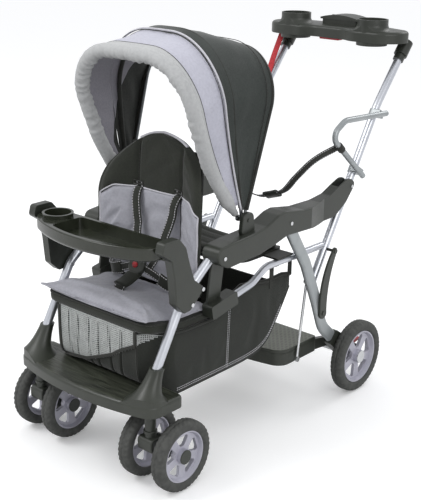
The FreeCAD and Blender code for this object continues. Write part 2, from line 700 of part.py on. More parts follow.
def footrest_socket(base_z, mouth_z):
    """A socket that flares out of the deck and narrows to a collar round the tube, drawn along the tube."""
    rings = []
    for up, spread in SOCKET_FLARE_SHARES:
        z = base_z + up * (mouth_z - base_z)
        run = (z - FRONT_TUBE_LOW_Z) / (FRONT_BEND_Z - FRONT_TUBE_LOW_Z)
        y = FRONT_TUBE_LOW_Y + run * (FRONT_BEND_Y - FRONT_TUBE_LOW_Y)
        ring = Part.Circle(point(FRONT_TUBE_X, y, z), UP, TUBE_RADIUS + SOCKET_WALL + SOCKET_FLARE * spread)
        rings.append(Part.Wire(ring.toShape()))
    return Part.makeLoft(rings, True, False)


def footrest():
    """A bowed deck with a skirt, two flared tube sockets and a boss over each caster."""
    top = FOOTREST_BOTTOM + FOOTREST_THICKNESS
    wall = FOOTREST_WALL
    deck = rounded(footrest_plan(0, FOOTREST_BOTTOM, top), FOOTREST_EDGE_ROUND,
                   lambda edge: all(abs(v.Z - top) < 1e-3 for v in edge.Vertexes))
    deck = deck.cut(footrest_plan(wall, FOOTREST_BOTTOM - OVERRUN, top - wall * 2))
    low = point(FRONT_TUBE_X, FRONT_TUBE_LOW_Y, FRONT_TUBE_LOW_Z)
    axis = point(FRONT_TUBE_X, FRONT_BEND_Y, FRONT_BEND_Z) - low
    axis.normalize()
    socket = footrest_socket(top - wall * 2, SOCKET_TOP)
    socket = socket.common(footrest_plan(wall / 2, FOOTREST_BOTTOM, SOCKET_TOP + OVERRUN))
    barrel_x = caster_x()
    boss = Part.makeCylinder(CASTER_BARREL_RADIUS + SOCKET_WALL / 2, FOOTREST_THICKNESS - wall,
                             point(barrel_x, -CASTER_TRAIL, FOOTREST_BOTTOM))
    body = fused([deck, socket, mirrored(socket), boss, mirrored(boss)])
    bore = Part.makeCylinder(TUBE_RADIUS + PRESS_GAP, SOCKET_DEPTH * 2, low, axis)
    stem_hole = Part.makeCylinder(CASTER_STEM_RADIUS + RUNNING_FIT,
                                  CASTER_STEM_LENGTH + OVERRUN + SOFT_GAP,
                                  point(barrel_x, -CASTER_TRAIL, FOOTREST_BOTTOM - OVERRUN))
    return body.cut(Part.makeCompound([bore, mirrored(bore), stem_hole, mirrored(stem_hole)]))


def front_tube():
    low = point(FRONT_TUBE_X, FRONT_TUBE_LOW_Y, FRONT_TUBE_LOW_Z)
    bend = point(FRONT_TUBE_X, FRONT_BEND_Y, FRONT_BEND_Z)
    bolt = point(FRONT_TUBE_X, FRONT_BOLT_Y, FRONT_BOLT_Z)
    axis = bolt - bend
    axis.normalize()
    return tube([low, bend, bolt + axis * FRONT_TUBE_PAST_BOLT], TUBE_BEND_RADIUS,
                TUBE_RADIUS, TUBE_WALL)


def front_tube_end_cutter():
    bend = point(FRONT_TUBE_X, FRONT_BEND_Y, FRONT_BEND_Z)
    bolt = point(FRONT_TUBE_X, FRONT_BOLT_Y, FRONT_BOLT_Z)
    axis = bolt - bend
    length = axis.Length
    axis.normalize()
    return rod(bolt - axis * length * 0.7, bolt + axis * (FRONT_TUBE_PAST_BOLT + SOFT_GAP),
               TUBE_RADIUS + PRESS_GAP)


def moulding_point(along, above):
    """A place on the moulding: along its bolt line, and above it in moulding heights."""
    y = FRONT_BOLT_Y + along * MOULDING_SPAN
    z = FRONT_BOLT_Z + along * MOULDING_RISE + above * MOULDING_HEIGHT
    return y, z


def moulding_plan(inset):
    """The moulding seen from above: wide over the leg's head, drawn in to the rear cheeks."""
    front = FRONT_BOLT_Y - MOULDING_HEIGHT
    rear = HANDLE_PIVOT_Y + MOULDING_HEIGHT
    wide_end, narrow_start = [moulding_point(share, 0)[0] for share in MOULDING_TAPER_SHARES]
    corners = [(MOULDING_INNER_X + inset, front), (MOULDING_WIDE_X - inset, front),
               (MOULDING_WIDE_X - inset, wide_end), (MOULDING_OUTER_X - inset, narrow_start),
               (MOULDING_OUTER_X - inset, rear), (MOULDING_INNER_X + inset, rear)]
    return plan_plate(corners, MOULDING_EDGE, FRONT_BOLT_Z - MOULDING_HEIGHT * 2,
                      HANDLE_PIVOT_Z + MOULDING_HEIGHT * 2)


def side_moulding():
    """A hollow channel over the leg's head that ends in two cheeks around the handle tube."""
    shares = MOULDING_TOP_SHARES + MOULDING_END_SHARES + MOULDING_LOW_SHARES
    outline = [moulding_point(along, above) for along, above in shares]
    body = side_plate(outline, MOULDING_HEIGHT * 0.4, MOULDING_INNER_X, MOULDING_WIDE_X)
    body = rounded(body, MOULDING_EDGE,
                   lambda edge: all(abs(v.X - MOULDING_WIDE_X) < 1e-3 for v in edge.Vertexes))
    body = body.common(moulding_plan(0))
    start = moulding_point(MOULDING_SLOT_START_SHARE, 0)
    roof_end = moulding_point(MOULDING_ROOF_END_SHARE, 0)
    floor = FRONT_BOLT_Z - MOULDING_HEIGHT * 2
    sky = HANDLE_PIVOT_Z + MOULDING_HEIGHT * 2
    beyond = HANDLE_PIVOT_Y + MOULDING_HEIGHT * 2
    roof_line = [(y, z - MOULDING_ROOF) for y, z in
                 (moulding_point(along, above) for along, above in MOULDING_TOP_SHARES)
                 if start[0] < y < roof_end[0]]
    first = (start[0], roof_line[0][1])
    last = (roof_end[0], roof_line[-1][1])
    slot = side_plate([first] + roof_line + [last, (roof_end[0], sky), (beyond, sky), (beyond, floor),
                                             (start[0], floor)], 0, MOULDING_INNER_X, MOULDING_WIDE_X)
    body = body.cut(slot.common(moulding_plan(MOULDING_CHEEK)))
    body = body.cut(front_tube_end_cutter())
    for y, z, outer in bolted_places():
        body = body.cut(rod(point(MOULDING_INNER_X - OVERRUN, y, z), point(outer + OVERRUN, y, z),
                            BOLT_SHANK_RADIUS + RUNNING_FIT))
    return body


def bolted_places():
    """Where the moulding is bolted through, and its outer face there."""
    return [(HANDLE_PIVOT_Y, HANDLE_PIVOT_Z, MOULDING_OUTER_X), (LEG_PIVOT_Y, LEG_PIVOT_Z, MOULDING_WIDE_X),
            (FRONT_BOLT_Y, FRONT_BOLT_Z, MOULDING_WIDE_X)]


def through_bolt(y, z, low_x, high_x):
    """A bolt across the side frame with a domed head on the outside and a nut inside."""
    shank = rod(point(low_x, y, z), point(high_x, y, z), BOLT_SHANK_RADIUS)
    head = rod(point(high_x, y, z), point(high_x + BOLT_HEAD_HEIGHT, y, z), BOLT_HEAD_RADIUS)
    nut = rod(point(low_x - BOLT_HEAD_HEIGHT, y, z), point(low_x, y, z), BOLT_HEAD_RADIUS)
    return fused([shank, head, nut])


def frame_bolts():
    """The bolts that join the front tubes, mouldings, handle tubes, legs and tray arms."""
    bolts = []
    for y, z, outer in bolted_places():
        bolts.append(through_bolt(y, z, MOULDING_INNER_X, outer))
    for place in arm_bolt_places():
        bolts.append(through_bolt(place[0], place[1], FRONT_TUBE_X - TUBE_RADIUS, ARM_OUTER_X))
    return Part.makeCompound(bolts + [mirrored(bolt) for bolt in bolts])


def bolt_hole(y, z):
    """The bolt's clearance hole through anything on the side frame."""
    return rod(point(MOULDING_INNER_X - OVERRUN * 4, y, z), point(ARM_OUTER_X + OVERRUN, y, z),
               BOLT_SHANK_RADIUS + RUNNING_FIT)


def arm_place(share):
    return ARM_LOW_Y + share[0] * ARM_WIDTH, ARM_LOW_Z + share[1] * ARM_HEIGHT


def arm_bolt_places():
    """The tray arm's two bolts, moved onto the front tube's axis at their heights."""
    low = point(0, FRONT_TUBE_LOW_Y, FRONT_TUBE_LOW_Z)
    bend = point(0, FRONT_BEND_Y, FRONT_BEND_Z)
    top = point(0, FRONT_BOLT_Y, FRONT_BOLT_Z)
    lower_z = arm_place(ARM_BOLT_LOW_SHARES)[1]
    upper_z = arm_place(ARM_BOLT_TOP_SHARES)[1]
    lower_y = low.y + (lower_z - low.z) * (bend.y - low.y) / (bend.z - low.z)
    upper_y = bend.y + (upper_z - bend.z) * (top.y - bend.y) / (top.z - bend.z)
    return [(lower_y, lower_z), (upper_y, upper_z)]


def tray_arm():
    outline = [arm_place(share) for share in ARM_OUTLINE_SHARES]
    body = side_plate(outline, ARM_CORNER, ARM_INNER_X, ARM_OUTER_X)
    body = rounded(body, ARM_CORNER / 3,
                   lambda edge: all(abs(v.X - ARM_OUTER_X) < 1e-3 for v in edge.Vertexes))
    for y, z in arm_bolt_places():
        body = body.cut(bolt_hole(y, z))
    return body


def tray_plan(inset, low_z, high_z):
    return bowed_plate(TRAY_HALF_WIDTH - inset, TRAY_REAR_Y - inset, TRAY_SIDE_FRONT_Y + inset,
                       TRAY_MID_FRONT_Y + inset, TRAY_CORNER - inset, TRAY_REAR_CORNER - inset, low_z, high_z)


def tray():
    """A shallow moulded tray with a drink recess at its left end."""
    floor_z = TRAY_RIM_Z - TRAY_DEPTH
    body = tray_plan(0, floor_z, TRAY_RIM_Z)
    body = rounded(body, TRAY_UNDER_ROUND, lambda edge: all(abs(v.Z - floor_z) < 1e-3 for v in edge.Vertexes))
    body = rounded(body, TRAY_RIM_ROUND, lambda edge: all(abs(v.Z - TRAY_RIM_Z) < 1e-3 for v in edge.Vertexes))
    shelf_x = TRAY_CUP_X + TRAY_CUP_RADIUS + TRAY_CUP_SHELF
    pocket = tray_plan(TRAY_RIM_WIDTH, floor_z + TRAY_FLOOR_UP, TRAY_RIM_Z + OVERRUN)
    keep = box(shelf_x, TRAY_HALF_WIDTH, TRAY_MID_FRONT_Y, TRAY_REAR_Y, floor_z, TRAY_RIM_Z + OVERRUN * 2)
    pocket = rounded(pocket.common(keep), TRAY_RIM_WIDTH,
                     lambda edge: all(abs(v.X - shelf_x) < 1e-3 for v in edge.Vertexes)
                     and abs(edge.Vertexes[0].Z - edge.Vertexes[-1].Z) > TRAY_FLOOR_UP)
    body = body.cut(pocket)
    cup_floor = TRAY_RIM_Z + TRAY_CUP_RISE - TRAY_CUP_DEPTH
    cup = Part.makeCone(TRAY_CUP_RADIUS * 0.9, TRAY_CUP_RADIUS + TRAY_WALL, TRAY_CUP_DEPTH,
                        point(TRAY_CUP_X, TRAY_CUP_Y, cup_floor))
    well = Part.makeCylinder(TRAY_CUP_RADIUS - TRAY_WALL, TRAY_CUP_DEPTH,
                             point(TRAY_CUP_X, TRAY_CUP_Y, cup_floor + TRAY_WALL))
    body = fused([body, cup]).cut(well)
    latch = box(TRAY_HALF_WIDTH * 0.97, ARM_INNER_X - SOFT_GAP, TRAY_REAR_Y - TRAY_LATCH_LENGTH, TRAY_REAR_Y,
                floor_z, floor_z + TRAY_LATCH_HEIGHT)
    return fused([body, latch, mirrored(latch)])


def handle_tube():
    low = along_handle(-HANDLE_TAIL)
    bend = along_handle(HANDLE_BEND_ABOVE)
    top = along_upper_handle(HANDLE_UPPER_LENGTH)
    body = tube([low, bend, top], HANDLE_BEND_RADIUS, TUBE_RADIUS, TUBE_WALL)
    return body.cut(bolt_hole(HANDLE_PIVOT_Y, HANDLE_PIVOT_Z))


def oval_wire(centre, direction, width, thickness):
    """A flat sided oval across the direction, its thickness along x."""
    across = direction.cross(ACROSS)
    across.normalize()
    radius = thickness / 2
    flat = width / 2 - radius
    a = centre + across * flat + ACROSS * radius
    b = centre - across * flat + ACROSS * radius
    c = centre - across * flat - ACROSS * radius
    d = centre + across * flat - ACROSS * radius
    low = Part.Arc(b, centre - across * (width / 2), c).toShape()
    high = Part.Arc(d, centre + across * (width / 2), a).toShape()
    return Part.Wire([Part.LineSegment(a, b).toShape(), low, Part.LineSegment(c, d).toShape(), high])


def rear_leg():
    corners = [leg_point(reach, drop) for reach, drop in LEG_ROUTE_SHARES]
    path = rounded_wire(corners, [LEG_BEND_RADIUS] * len(corners), closed=False)
    section = oval_wire(corners[0], corners[1] - corners[0], LEG_WIDTH, LEG_THICKNESS)
    body = path.makePipeShell([section], True, False)
    head = rod(corners[0] - ACROSS * (LEG_THICKNESS / 2), corners[0] + ACROSS * (LEG_THICKNESS / 2),
               LEG_WIDTH / 2)
    body = fused([body, head])
    return body.cut(bolt_hole(LEG_PIVOT_Y, LEG_PIVOT_Z))


def brake_place():
    return WHEELBASE + BRAKE_PIVOT_BACK, REAR_WHEEL_RADIUS + BRAKE_PIVOT_UP


def hub_bracket():
    """The moulded shoe that holds the leg's foot, the axle and the brake lever's pivot."""
    foot = leg_point(*LEG_ROUTE_SHARES[-1])
    before = leg_point(*LEG_ROUTE_SHARES[-2])
    direction = foot - before
    direction.normalize()
    normal = Vector(0, -direction.z, direction.y)
    wide = LEG_WIDTH / 2 + HUB_BRACKET_RADIUS / 6
    inner = foot - direction * HUB_BRACKET_REACH
    axle_y = WHEELBASE
    axle_z = REAR_WHEEL_RADIUS
    size = HUB_BRACKET_RADIUS
    brake_y, brake_z = brake_place()
    ear = BRAKE_BOSS_RADIUS * 1.5
    corners = [(inner.y + normal.y * wide, inner.z + normal.z * wide),
               (inner.y - normal.y * wide, inner.z - normal.z * wide),
               (axle_y - size, axle_z - size / 2), (axle_y, axle_z - size),
               (brake_y + ear, brake_z - ear), (brake_y + ear, brake_z + ear), (axle_y + size, axle_z + size)]
    body = side_plate(corners, size / 3, HUB_INNER_X, HUB_OUTER_X)
    start = inner - direction * OVERRUN
    path = Part.Wire([Part.LineSegment(start, foot + direction * SOFT_GAP).toShape()])
    section = oval_wire(start, direction, LEG_WIDTH + PRESS_GAP, LEG_THICKNESS + PRESS_GAP)
    body = body.cut(path.makePipeShell([section], True, False))
    body = body.cut(rod(point(HUB_INNER_X - OVERRUN, axle_y, axle_z), point(HUB_OUTER_X + OVERRUN, axle_y, axle_z),
                        REAR_AXLE_RADIUS))
    hinge_y, hinge_z = platform_hinge()
    pin_end = PLATFORM_HALF_WIDTH - PLATFORM_ARM_INSET - PLATFORM_ARM_WIDTH - SOFT_GAP
    platform_pin = rod(point(pin_end, hinge_y, hinge_z),
                       point(HUB_INNER_X, hinge_y, hinge_z), LINK_PIN_RADIUS)
    brake_pin = rod(point(HUB_INNER_X - BRAKE_WIDTH - SOFT_GAP, brake_y, brake_z),
                    point(HUB_INNER_X, brake_y, brake_z), BRAKE_PIN_RADIUS)
    return fused([body, platform_pin, brake_pin])


def rear_axle():
    """The spindle through both rear wheels, thicker between the legs."""
    spindle = rod(point(-TRACK_WIDTH / 2, WHEELBASE, REAR_WHEEL_RADIUS),
                  point(TRACK_WIDTH / 2, WHEELBASE, REAR_WHEEL_RADIUS), REAR_AXLE_RADIUS)
    cross = rod(point(-HUB_INNER_X, WHEELBASE, REAR_WHEEL_RADIUS),
                point(HUB_INNER_X, WHEELBASE, REAR_WHEEL_RADIUS), CROSS_TUBE_RADIUS)
    caps = [axle_cap(-TRACK_WIDTH / 2, 1, WHEELBASE, REAR_WHEEL_RADIUS),
            axle_cap(TRACK_WIDTH / 2, -1, WHEELBASE, REAR_WHEEL_RADIUS)]
    return fused([spindle, cross] + caps)


def brake_lever():
    """A red foot lever on a pin in the hub bracket's rear ear."""
    y, z = brake_place()
    low_x = HUB_INNER_X - BRAKE_WIDTH - SOFT_GAP
    high_x = HUB_INNER_X - SOFT_GAP
    boss = rod(point(low_x, y, z), point(high_x, y, z), BRAKE_BOSS_RADIUS)
    far_z = z + BRAKE_BOSS_RADIUS
    paddle = side_plate([(y, far_z), (y, z - BRAKE_BOSS_RADIUS / 2), (y + BRAKE_LENGTH, far_z),
                         (y + BRAKE_LENGTH, far_z + BRAKE_THICKNESS)], BRAKE_THICKNESS / 3, low_x, high_x)
    bore = rod(point(low_x - OVERRUN, y, z), point(high_x + OVERRUN, y, z), BRAKE_PIN_RADIUS + RUNNING_FIT)
    return fused([boss, paddle]).cut(bore)


def link():
    """A bowed plate with a pin at each end, one into the leg and one towards the tube."""
    low = leg_point(*LEG_PIN_SHARES)
    high = along_handle(-LINK_PIN_BELOW)
    leg_face = LEG_X + LEG_THICKNESS / 2
    plate_low = leg_face + LINK_CLEARANCE
    plate_high = plate_low + LINK_THICKNESS
    low = point(plate_low, low.y, low.z)
    high = point(plate_low, high.y, high.z)
    direction = high - low
    direction.normalize()
    normal = Vector(0, direction.z, -direction.y)
    middle = (low + high) * 0.5 - normal * LINK_BOW
    low_left = low - normal * LINK_LOW_RADIUS
    low_right = low + normal * LINK_LOW_RADIUS
    high_left = high - normal * LINK_TOP_RADIUS
    high_right = high + normal * LINK_TOP_RADIUS
    edges = [Part.Arc(low_left, middle - normal * LINK_MIDDLE_HALF, high_left).toShape(),
             Part.Arc(high_left, high + direction * LINK_TOP_RADIUS, high_right).toShape(),
             Part.Arc(high_right, middle + normal * LINK_MIDDLE_HALF, low_right).toShape(),
             Part.Arc(low_right, low - direction * LINK_LOW_RADIUS, low_left).toShape()]
    plate = Part.Face(Part.Wire(edges)).extrude(ACROSS * LINK_THICKNESS)
    plate = rounded(plate, LINK_EDGE, lambda edge: all(abs(v.X - plate_high) < 1e-3 for v in edge.Vertexes))
    head = plate_high + BOLT_HEAD_HEIGHT
    tube_face = SIDE_X + TUBE_RADIUS + SOFT_GAP
    pins = [rod(point(leg_face + SOFT_GAP, low.y, low.z), point(head, low.y, low.z), LINK_PIN_RADIUS),
            rod(point(plate_high, low.y, low.z), point(head, low.y, low.z), LINK_HEAD_RADIUS),
            rod(point(tube_face, high.y, high.z), point(head, high.y, high.z), LINK_PIN_RADIUS),
            rod(point(plate_high, high.y, high.z), point(head, high.y, high.z), LINK_HEAD_RADIUS)]
    return fused([plate] + pins)


def platform_hinge():
    return WHEELBASE, REAR_WHEEL_RADIUS + PLATFORM_HINGE_UP


def platform_plan(inset, low_z, high_z):
    return bowed_plate(PLATFORM_HALF_WIDTH - inset, PLATFORM_REAR_Y - inset, PLATFORM_FRONT_Y + PLATFORM_BOW + inset,
                       PLATFORM_FRONT_Y + inset, PLATFORM_CORNER - inset, PLATFORM_REAR_CORNER - inset, low_z, high_z)


def platform():
    """A ribbed standing board with a skirt, carried by two arms from the axle."""
    half = PLATFORM_HALF_WIDTH
    wall = PLATFORM_WALL
    body = platform_plan(0, PLATFORM_TOP - PLATFORM_SKIRT, PLATFORM_TOP)
    body = rounded(body, PLATFORM_EDGE_ROUND, lambda edge: all(abs(v.Z - PLATFORM_TOP) < 1e-3 for v in edge.Vertexes))
    lip_low = PLATFORM_TOP - PLATFORM_LIP_DROP
    groove = platform_plan(-OVERRUN, lip_low - PLATFORM_GROOVE, lip_low)
    body = body.cut(groove.cut(platform_plan(PLATFORM_GROOVE / 2, lip_low - PLATFORM_GROOVE * 2, PLATFORM_TOP)))
    body = body.cut(platform_plan(wall, PLATFORM_TOP - PLATFORM_SKIRT - OVERRUN, PLATFORM_TOP - wall))
    ribs = []
    spacing = 2 * half / (PLATFORM_RIB_COUNT + 1)
    for index in range(PLATFORM_RIB_COUNT):
        x = -half + spacing * (index + 1)
        ribs.append(box(x - wall / 2, x + wall / 2, PLATFORM_FRONT_Y + PLATFORM_BOW, PLATFORM_REAR_Y - wall / 2,
                        PLATFORM_TOP - PLATFORM_SKIRT / 2, PLATFORM_TOP - wall / 2))
    hinge_y, hinge_z = platform_hinge()
    arm_outer = half - PLATFORM_ARM_INSET
    arm_x = arm_outer - PLATFORM_ARM_WIDTH
    arm_corners = [(PLATFORM_REAR_Y - wall, PLATFORM_TOP - PLATFORM_SKIRT),
                   (PLATFORM_REAR_Y - wall, PLATFORM_TOP - PLATFORM_ARM_THICKNESS),
                   (hinge_y, hinge_z + PLATFORM_EYE_RADIUS), (hinge_y + PLATFORM_EYE_RADIUS, hinge_z),
                   (hinge_y, hinge_z - PLATFORM_EYE_RADIUS)]
    arm = side_plate(arm_corners, PLATFORM_EYE_RADIUS / 2, arm_x, arm_outer)
    hinge_bore = rod(point(arm_x - OVERRUN, hinge_y, hinge_z), point(half + OVERRUN, hinge_y, hinge_z),
                     LINK_PIN_RADIUS + RUNNING_FIT)
    arm = arm.cut(hinge_bore)
    body = fused([body] + ribs)
    return fused([body, arm, mirrored(arm)])


def strut():
    """A lifting rod from the handle tube's lower end to a pin on the platform's side."""
    half = STRUT_EYE_THICKNESS / 2
    foot = point(PLATFORM_HALF_WIDTH + SOFT_GAP + half, STRUT_FOOT_Y, STRUT_FOOT_Z)
    tail = along_handle(-HANDLE_TAIL, STRUT_TAIL_X)
    eyes = [rod(end - ACROSS * half, end + ACROSS * half, STRUT_EYE_RADIUS) for end in (foot, tail)]
    return fused([rod(foot, tail, STRUT_RADIUS)] + eyes)


def rail_corners():
    return [point(SIDE_X, RAIL_START_Y, RAIL_START_Z), point(SIDE_X, RAIL_KNEE_Y, RAIL_KNEE_Z),
            point(SIDE_X, RAIL_TURN_Y, RAIL_HEIGHT), point(SIDE_X, RAIL_END_Y, RAIL_HEIGHT)]


def seat_rail():
    body = tube(rail_corners(), RAIL_BEND_RADIUS, RAIL_RADIUS, TUBE_WALL)
    cap = rod(point(SIDE_X, RAIL_END_Y, RAIL_HEIGHT), point(SIDE_X, RAIL_END_Y + RAIL_CAP_LENGTH, RAIL_HEIGHT),
              RAIL_RADIUS)
    return fused([body, cap])


def rail_bracket():
    """The clamp block on the rail's front end and the plate that hangs it from the moulding."""
    start, knee = rail_corners()[:2]
    direction = knee - start
    direction.normalize()
    normal = Vector(0, -direction.z, direction.y)
    back = start - direction * (BRACKET_LENGTH / 6)
    ahead = back + direction * BRACKET_LENGTH
    half = BRACKET_HEIGHT / 2
    corners = [back + normal * half, back - normal * half, ahead - normal * half, ahead + normal * half]
    block = side_plate([(c.y, c.z) for c in corners], BRACKET_HEIGHT / 6, BRACKET_INNER_X, BRACKET_OUTER_X)
    low_y, low_z = moulding_point(0.05, -0.36)
    plate_high = MOULDING_INNER_X + MOULDING_CHEEK + HANGER_THICKNESS
    hanger = side_plate([(low_y - HANGER_WIDTH / 2, low_z + MOULDING_HEIGHT * 0.2),
                         (back.y, back.z), (back.y + HANGER_WIDTH, back.z),
                         (low_y + HANGER_WIDTH / 2, low_z + MOULDING_HEIGHT * 0.2)],
                        HANGER_THICKNESS, plate_high - HANGER_THICKNESS, plate_high)
    hanger = hanger.cut(side_moulding())
    body = fused([block, hanger])
    bore = rod(start - direction * SOFT_GAP, ahead + direction * OVERRUN, RAIL_RADIUS + PRESS_GAP)
    return body.cut(bore)


def seat_board():
    top = SEAT_BOARD_BOTTOM + SEAT_BOARD_THICKNESS
    outline = symmetric([(SEAT_HALF_WIDTH, SEAT_REAR_Y), (SEAT_HALF_WIDTH, SEAT_FRONT_Y + SEAT_CORNER),
                         (SEAT_HALF_WIDTH - SEAT_CORNER, SEAT_FRONT_Y)])
    board = plan_plate(outline, SEAT_CORNER, SEAT_BOARD_BOTTOM, top)
    tube_y = FRONT_TUBE_LOW_Y + ((SEAT_BOARD_BOTTOM + top) / 2 - FRONT_TUBE_LOW_Z) * (
        FRONT_BEND_Y - FRONT_TUBE_LOW_Y) / (FRONT_BEND_Z - FRONT_TUBE_LOW_Z)
    lug = box(SEAT_HALF_WIDTH - OVERRUN, FRONT_TUBE_X - TUBE_RADIUS - SOFT_GAP, tube_y - SEAT_LUG_WIDTH / 2,
              tube_y + SEAT_LUG_WIDTH / 2, SEAT_BOARD_BOTTOM, top)
    bracket_lug = box(SEAT_HALF_WIDTH - OVERRUN, BRACKET_INNER_X - SOFT_GAP, SEAT_REAR_Y - SEAT_LUG_WIDTH,
                      SEAT_REAR_Y, SEAT_BOARD_BOTTOM, top)
    hinge = box(-BACK_BOARD_HALF_WIDTH, BACK_BOARD_HALF_WIDTH, SEAT_REAR_Y - OVERRUN,
                BACK_HINGE_Y - BACK_PIN_RADIUS - SOFT_GAP, SEAT_BOARD_BOTTOM, top)
    ear_start = BACK_BOARD_HALF_WIDTH + SOFT_GAP
    ear_end = ear_start + BACK_EAR_THICKNESS
    ear = box(ear_start, ear_end, SEAT_REAR_Y - OVERRUN, BACK_HINGE_Y + BACK_PIN_RADIUS, SEAT_BOARD_BOTTOM,
              BACK_HINGE_Z + BACK_PIN_RADIUS)
    root = box(BACK_BOARD_HALF_WIDTH - OVERRUN, ear_end, SEAT_REAR_Y - OVERRUN,
               BACK_HINGE_Y - BACK_PIN_RADIUS - SOFT_GAP, SEAT_BOARD_BOTTOM, top)
    pin = rod(point(ear_start - BACK_PIN_LENGTH, BACK_HINGE_Y, BACK_HINGE_Z),
              point(ear_end, BACK_HINGE_Y, BACK_HINGE_Z), BACK_PIN_RADIUS / 2)
    return fused([board, lug, mirrored(lug), bracket_lug, mirrored(bracket_lug), hinge, ear, root, pin,
                  mirrored(ear), mirrored(root), mirrored(pin)])


def cushion_section(station, half_width, low, high, crown, plane):
    """A closed pad section: flat base, round sides and a crowned top."""
    middle = (low + high) / 2
    bulge = (high - low) / 2

    def at(x, z):
        return plane(station, x, z)

    edges = [Part.LineSegment(at(-half_width + bulge, low), at(half_width - bulge, low)).toShape(),
             Part.Arc(at(half_width - bulge, low), at(half_width, middle), at(half_width - bulge, high)).toShape(),
             Part.Arc(at(half_width - bulge, high), at(0, high + crown), at(-half_width + bulge, high)).toShape(),
             Part.Arc(at(-half_width + bulge, high), at(-half_width, middle), at(-half_width + bulge, low)).toShape()]
    return Part.Wire(edges)


def seat_pad():
    """A crowned cushion, drawn in a little between its corners."""
    low = SEAT_BOARD_BOTTOM + SEAT_BOARD_THICKNESS + SOFT_GAP
    front = SEAT_FRONT_Y - SEAT_PAD_OVERHANG
    length = BACK_HINGE_Y - BACK_PAD_THICKNESS - SEAT_PAD_CROWN - front
    sections = []
    for station, width, depth in zip(SEAT_STATION_SHARES, SEAT_WIDTH_SHARES, SEAT_DEPTH_SHARES):
        y = front + station * length
        high = low + SEAT_PAD_THICKNESS * depth
        sections.append(cushion_section(y, SEAT_HALF_WIDTH * width, low, high, SEAT_PAD_CROWN * depth,
                                        lambda s, x, z: point(x, s, z)))
    return Part.makeLoft(sections, True, False)


def back_place(up, forward=0):
    """A place in the seat back's middle plane: up along it, and forward of it."""
    lean = math.radians(BACK_LEAN)
    y = BACK_HINGE_Y + up * math.sin(lean) - forward * math.cos(lean)
    z = BACK_HINGE_Z + up * math.cos(lean) + forward * math.sin(lean)
    return y, z


def back_section(up, half_width, wing, depth):
    """A crescent section: the pad's face curves forward at both sides into wings."""
    def at(x, forward):
        y, z = back_place(up, forward)
        return point(x, y, z)

    rear = BACK_BOARD_THICKNESS + BACK_PIN_RADIUS + SOFT_GAP
    face = rear + depth
    tip = depth / 2
    edges = [Part.Arc(at(-half_width, face + wing), at(0, face), at(half_width, face + wing)).toShape(),
             Part.Arc(at(half_width, face + wing), at(half_width + tip, rear + wing + tip),
                      at(half_width, rear + wing)).toShape(),
             Part.Arc(at(half_width, rear + wing), at(0, rear), at(-half_width, rear + wing)).toShape(),
             Part.Arc(at(-half_width, rear + wing), at(-half_width - tip, rear + wing + tip),
                      at(-half_width, face + wing)).toShape()]
    return Part.Wire(edges)


def backrest_pad():
    sections = []
    for station, width, wing, depth in zip(BACK_STATION_SHARES, BACK_WIDTH_SHARES, BACK_WING_SHARES,
                                           BACK_DEPTH_SHARES):
        up = BACK_START + station * (BACK_HEIGHT - BACK_START)
        sections.append(back_section(up, BACK_HALF_WIDTH * width - BACK_PAD_THICKNESS / 2, BACK_WING * wing,
                                     BACK_PAD_THICKNESS * depth))
    return Part.makeLoft(sections, True, False)


def backrest_board():
    """The stiff board behind the pad, with a hinge tube along its foot."""
    hinge = rod(point(-BACK_BOARD_HALF_WIDTH, BACK_HINGE_Y, BACK_HINGE_Z),
                point(BACK_BOARD_HALF_WIDTH, BACK_HINGE_Y, BACK_HINGE_Z), BACK_PIN_RADIUS)
    low = back_place(0, BACK_PIN_RADIUS)
    corners = [back_place(0, BACK_PIN_RADIUS + BACK_BOARD_THICKNESS), low,
               back_place(BACK_HEIGHT * 0.9, BACK_PIN_RADIUS),
               back_place(BACK_HEIGHT * 0.9, BACK_PIN_RADIUS + BACK_BOARD_THICKNESS)]
    board = side_plate(corners, BACK_BOARD_THICKNESS / 4, -BACK_BOARD_HALF_WIDTH, BACK_BOARD_HALF_WIDTH)
    web = box(-BACK_BOARD_HALF_WIDTH, BACK_BOARD_HALF_WIDTH, BACK_HINGE_Y - BACK_PIN_RADIUS - BACK_BOARD_THICKNESS,
              BACK_HINGE_Y, BACK_HINGE_Z, BACK_HINGE_Z + BACK_PIN_RADIUS)
    bore_start = BACK_BOARD_HALF_WIDTH - BACK_PIN_LENGTH - SOFT_GAP
    bore = rod(point(bore_start, BACK_HINGE_Y, BACK_HINGE_Z),
               point(BACK_BOARD_HALF_WIDTH + OVERRUN, BACK_HINGE_Y, BACK_HINGE_Z), BACK_PIN_RADIUS / 2 + RUNNING_FIT)
    return fused([hinge, web, board]).cut(Part.makeCompound([bore, mirrored(bore)]))


def strap(points, width, thickness, bend, direction):
    """A flat strap along a route, its width along the given direction."""
    path = rounded_wire(points, [bend] * len(points), closed=False)
    run = points[1] - points[0]
    normal = run.cross(direction)
    normal.normalize()
    start = points[0]
    a = start + direction * (width / 2) + normal * (thickness / 2)
    b = start - direction * (width / 2) + normal * (thickness / 2)
    c = start - direction * (width / 2) - normal * (thickness / 2)
    d = start + direction * (width / 2) - normal * (thickness / 2)
    section = Part.makePolygon([a, b, c, d, a])
    return path.makePipeShell([section], True, False)


def first_hit(shape, start, direction, reach):
    """How far from the start, along the direction, the shape's surface is first met."""
    ray = Part.makeLine(start, start + direction * reach)
    hits = [(vertex.Point - start).Length for vertex in shape.common(ray).Vertexes]
    return min(hits) if hits else reach


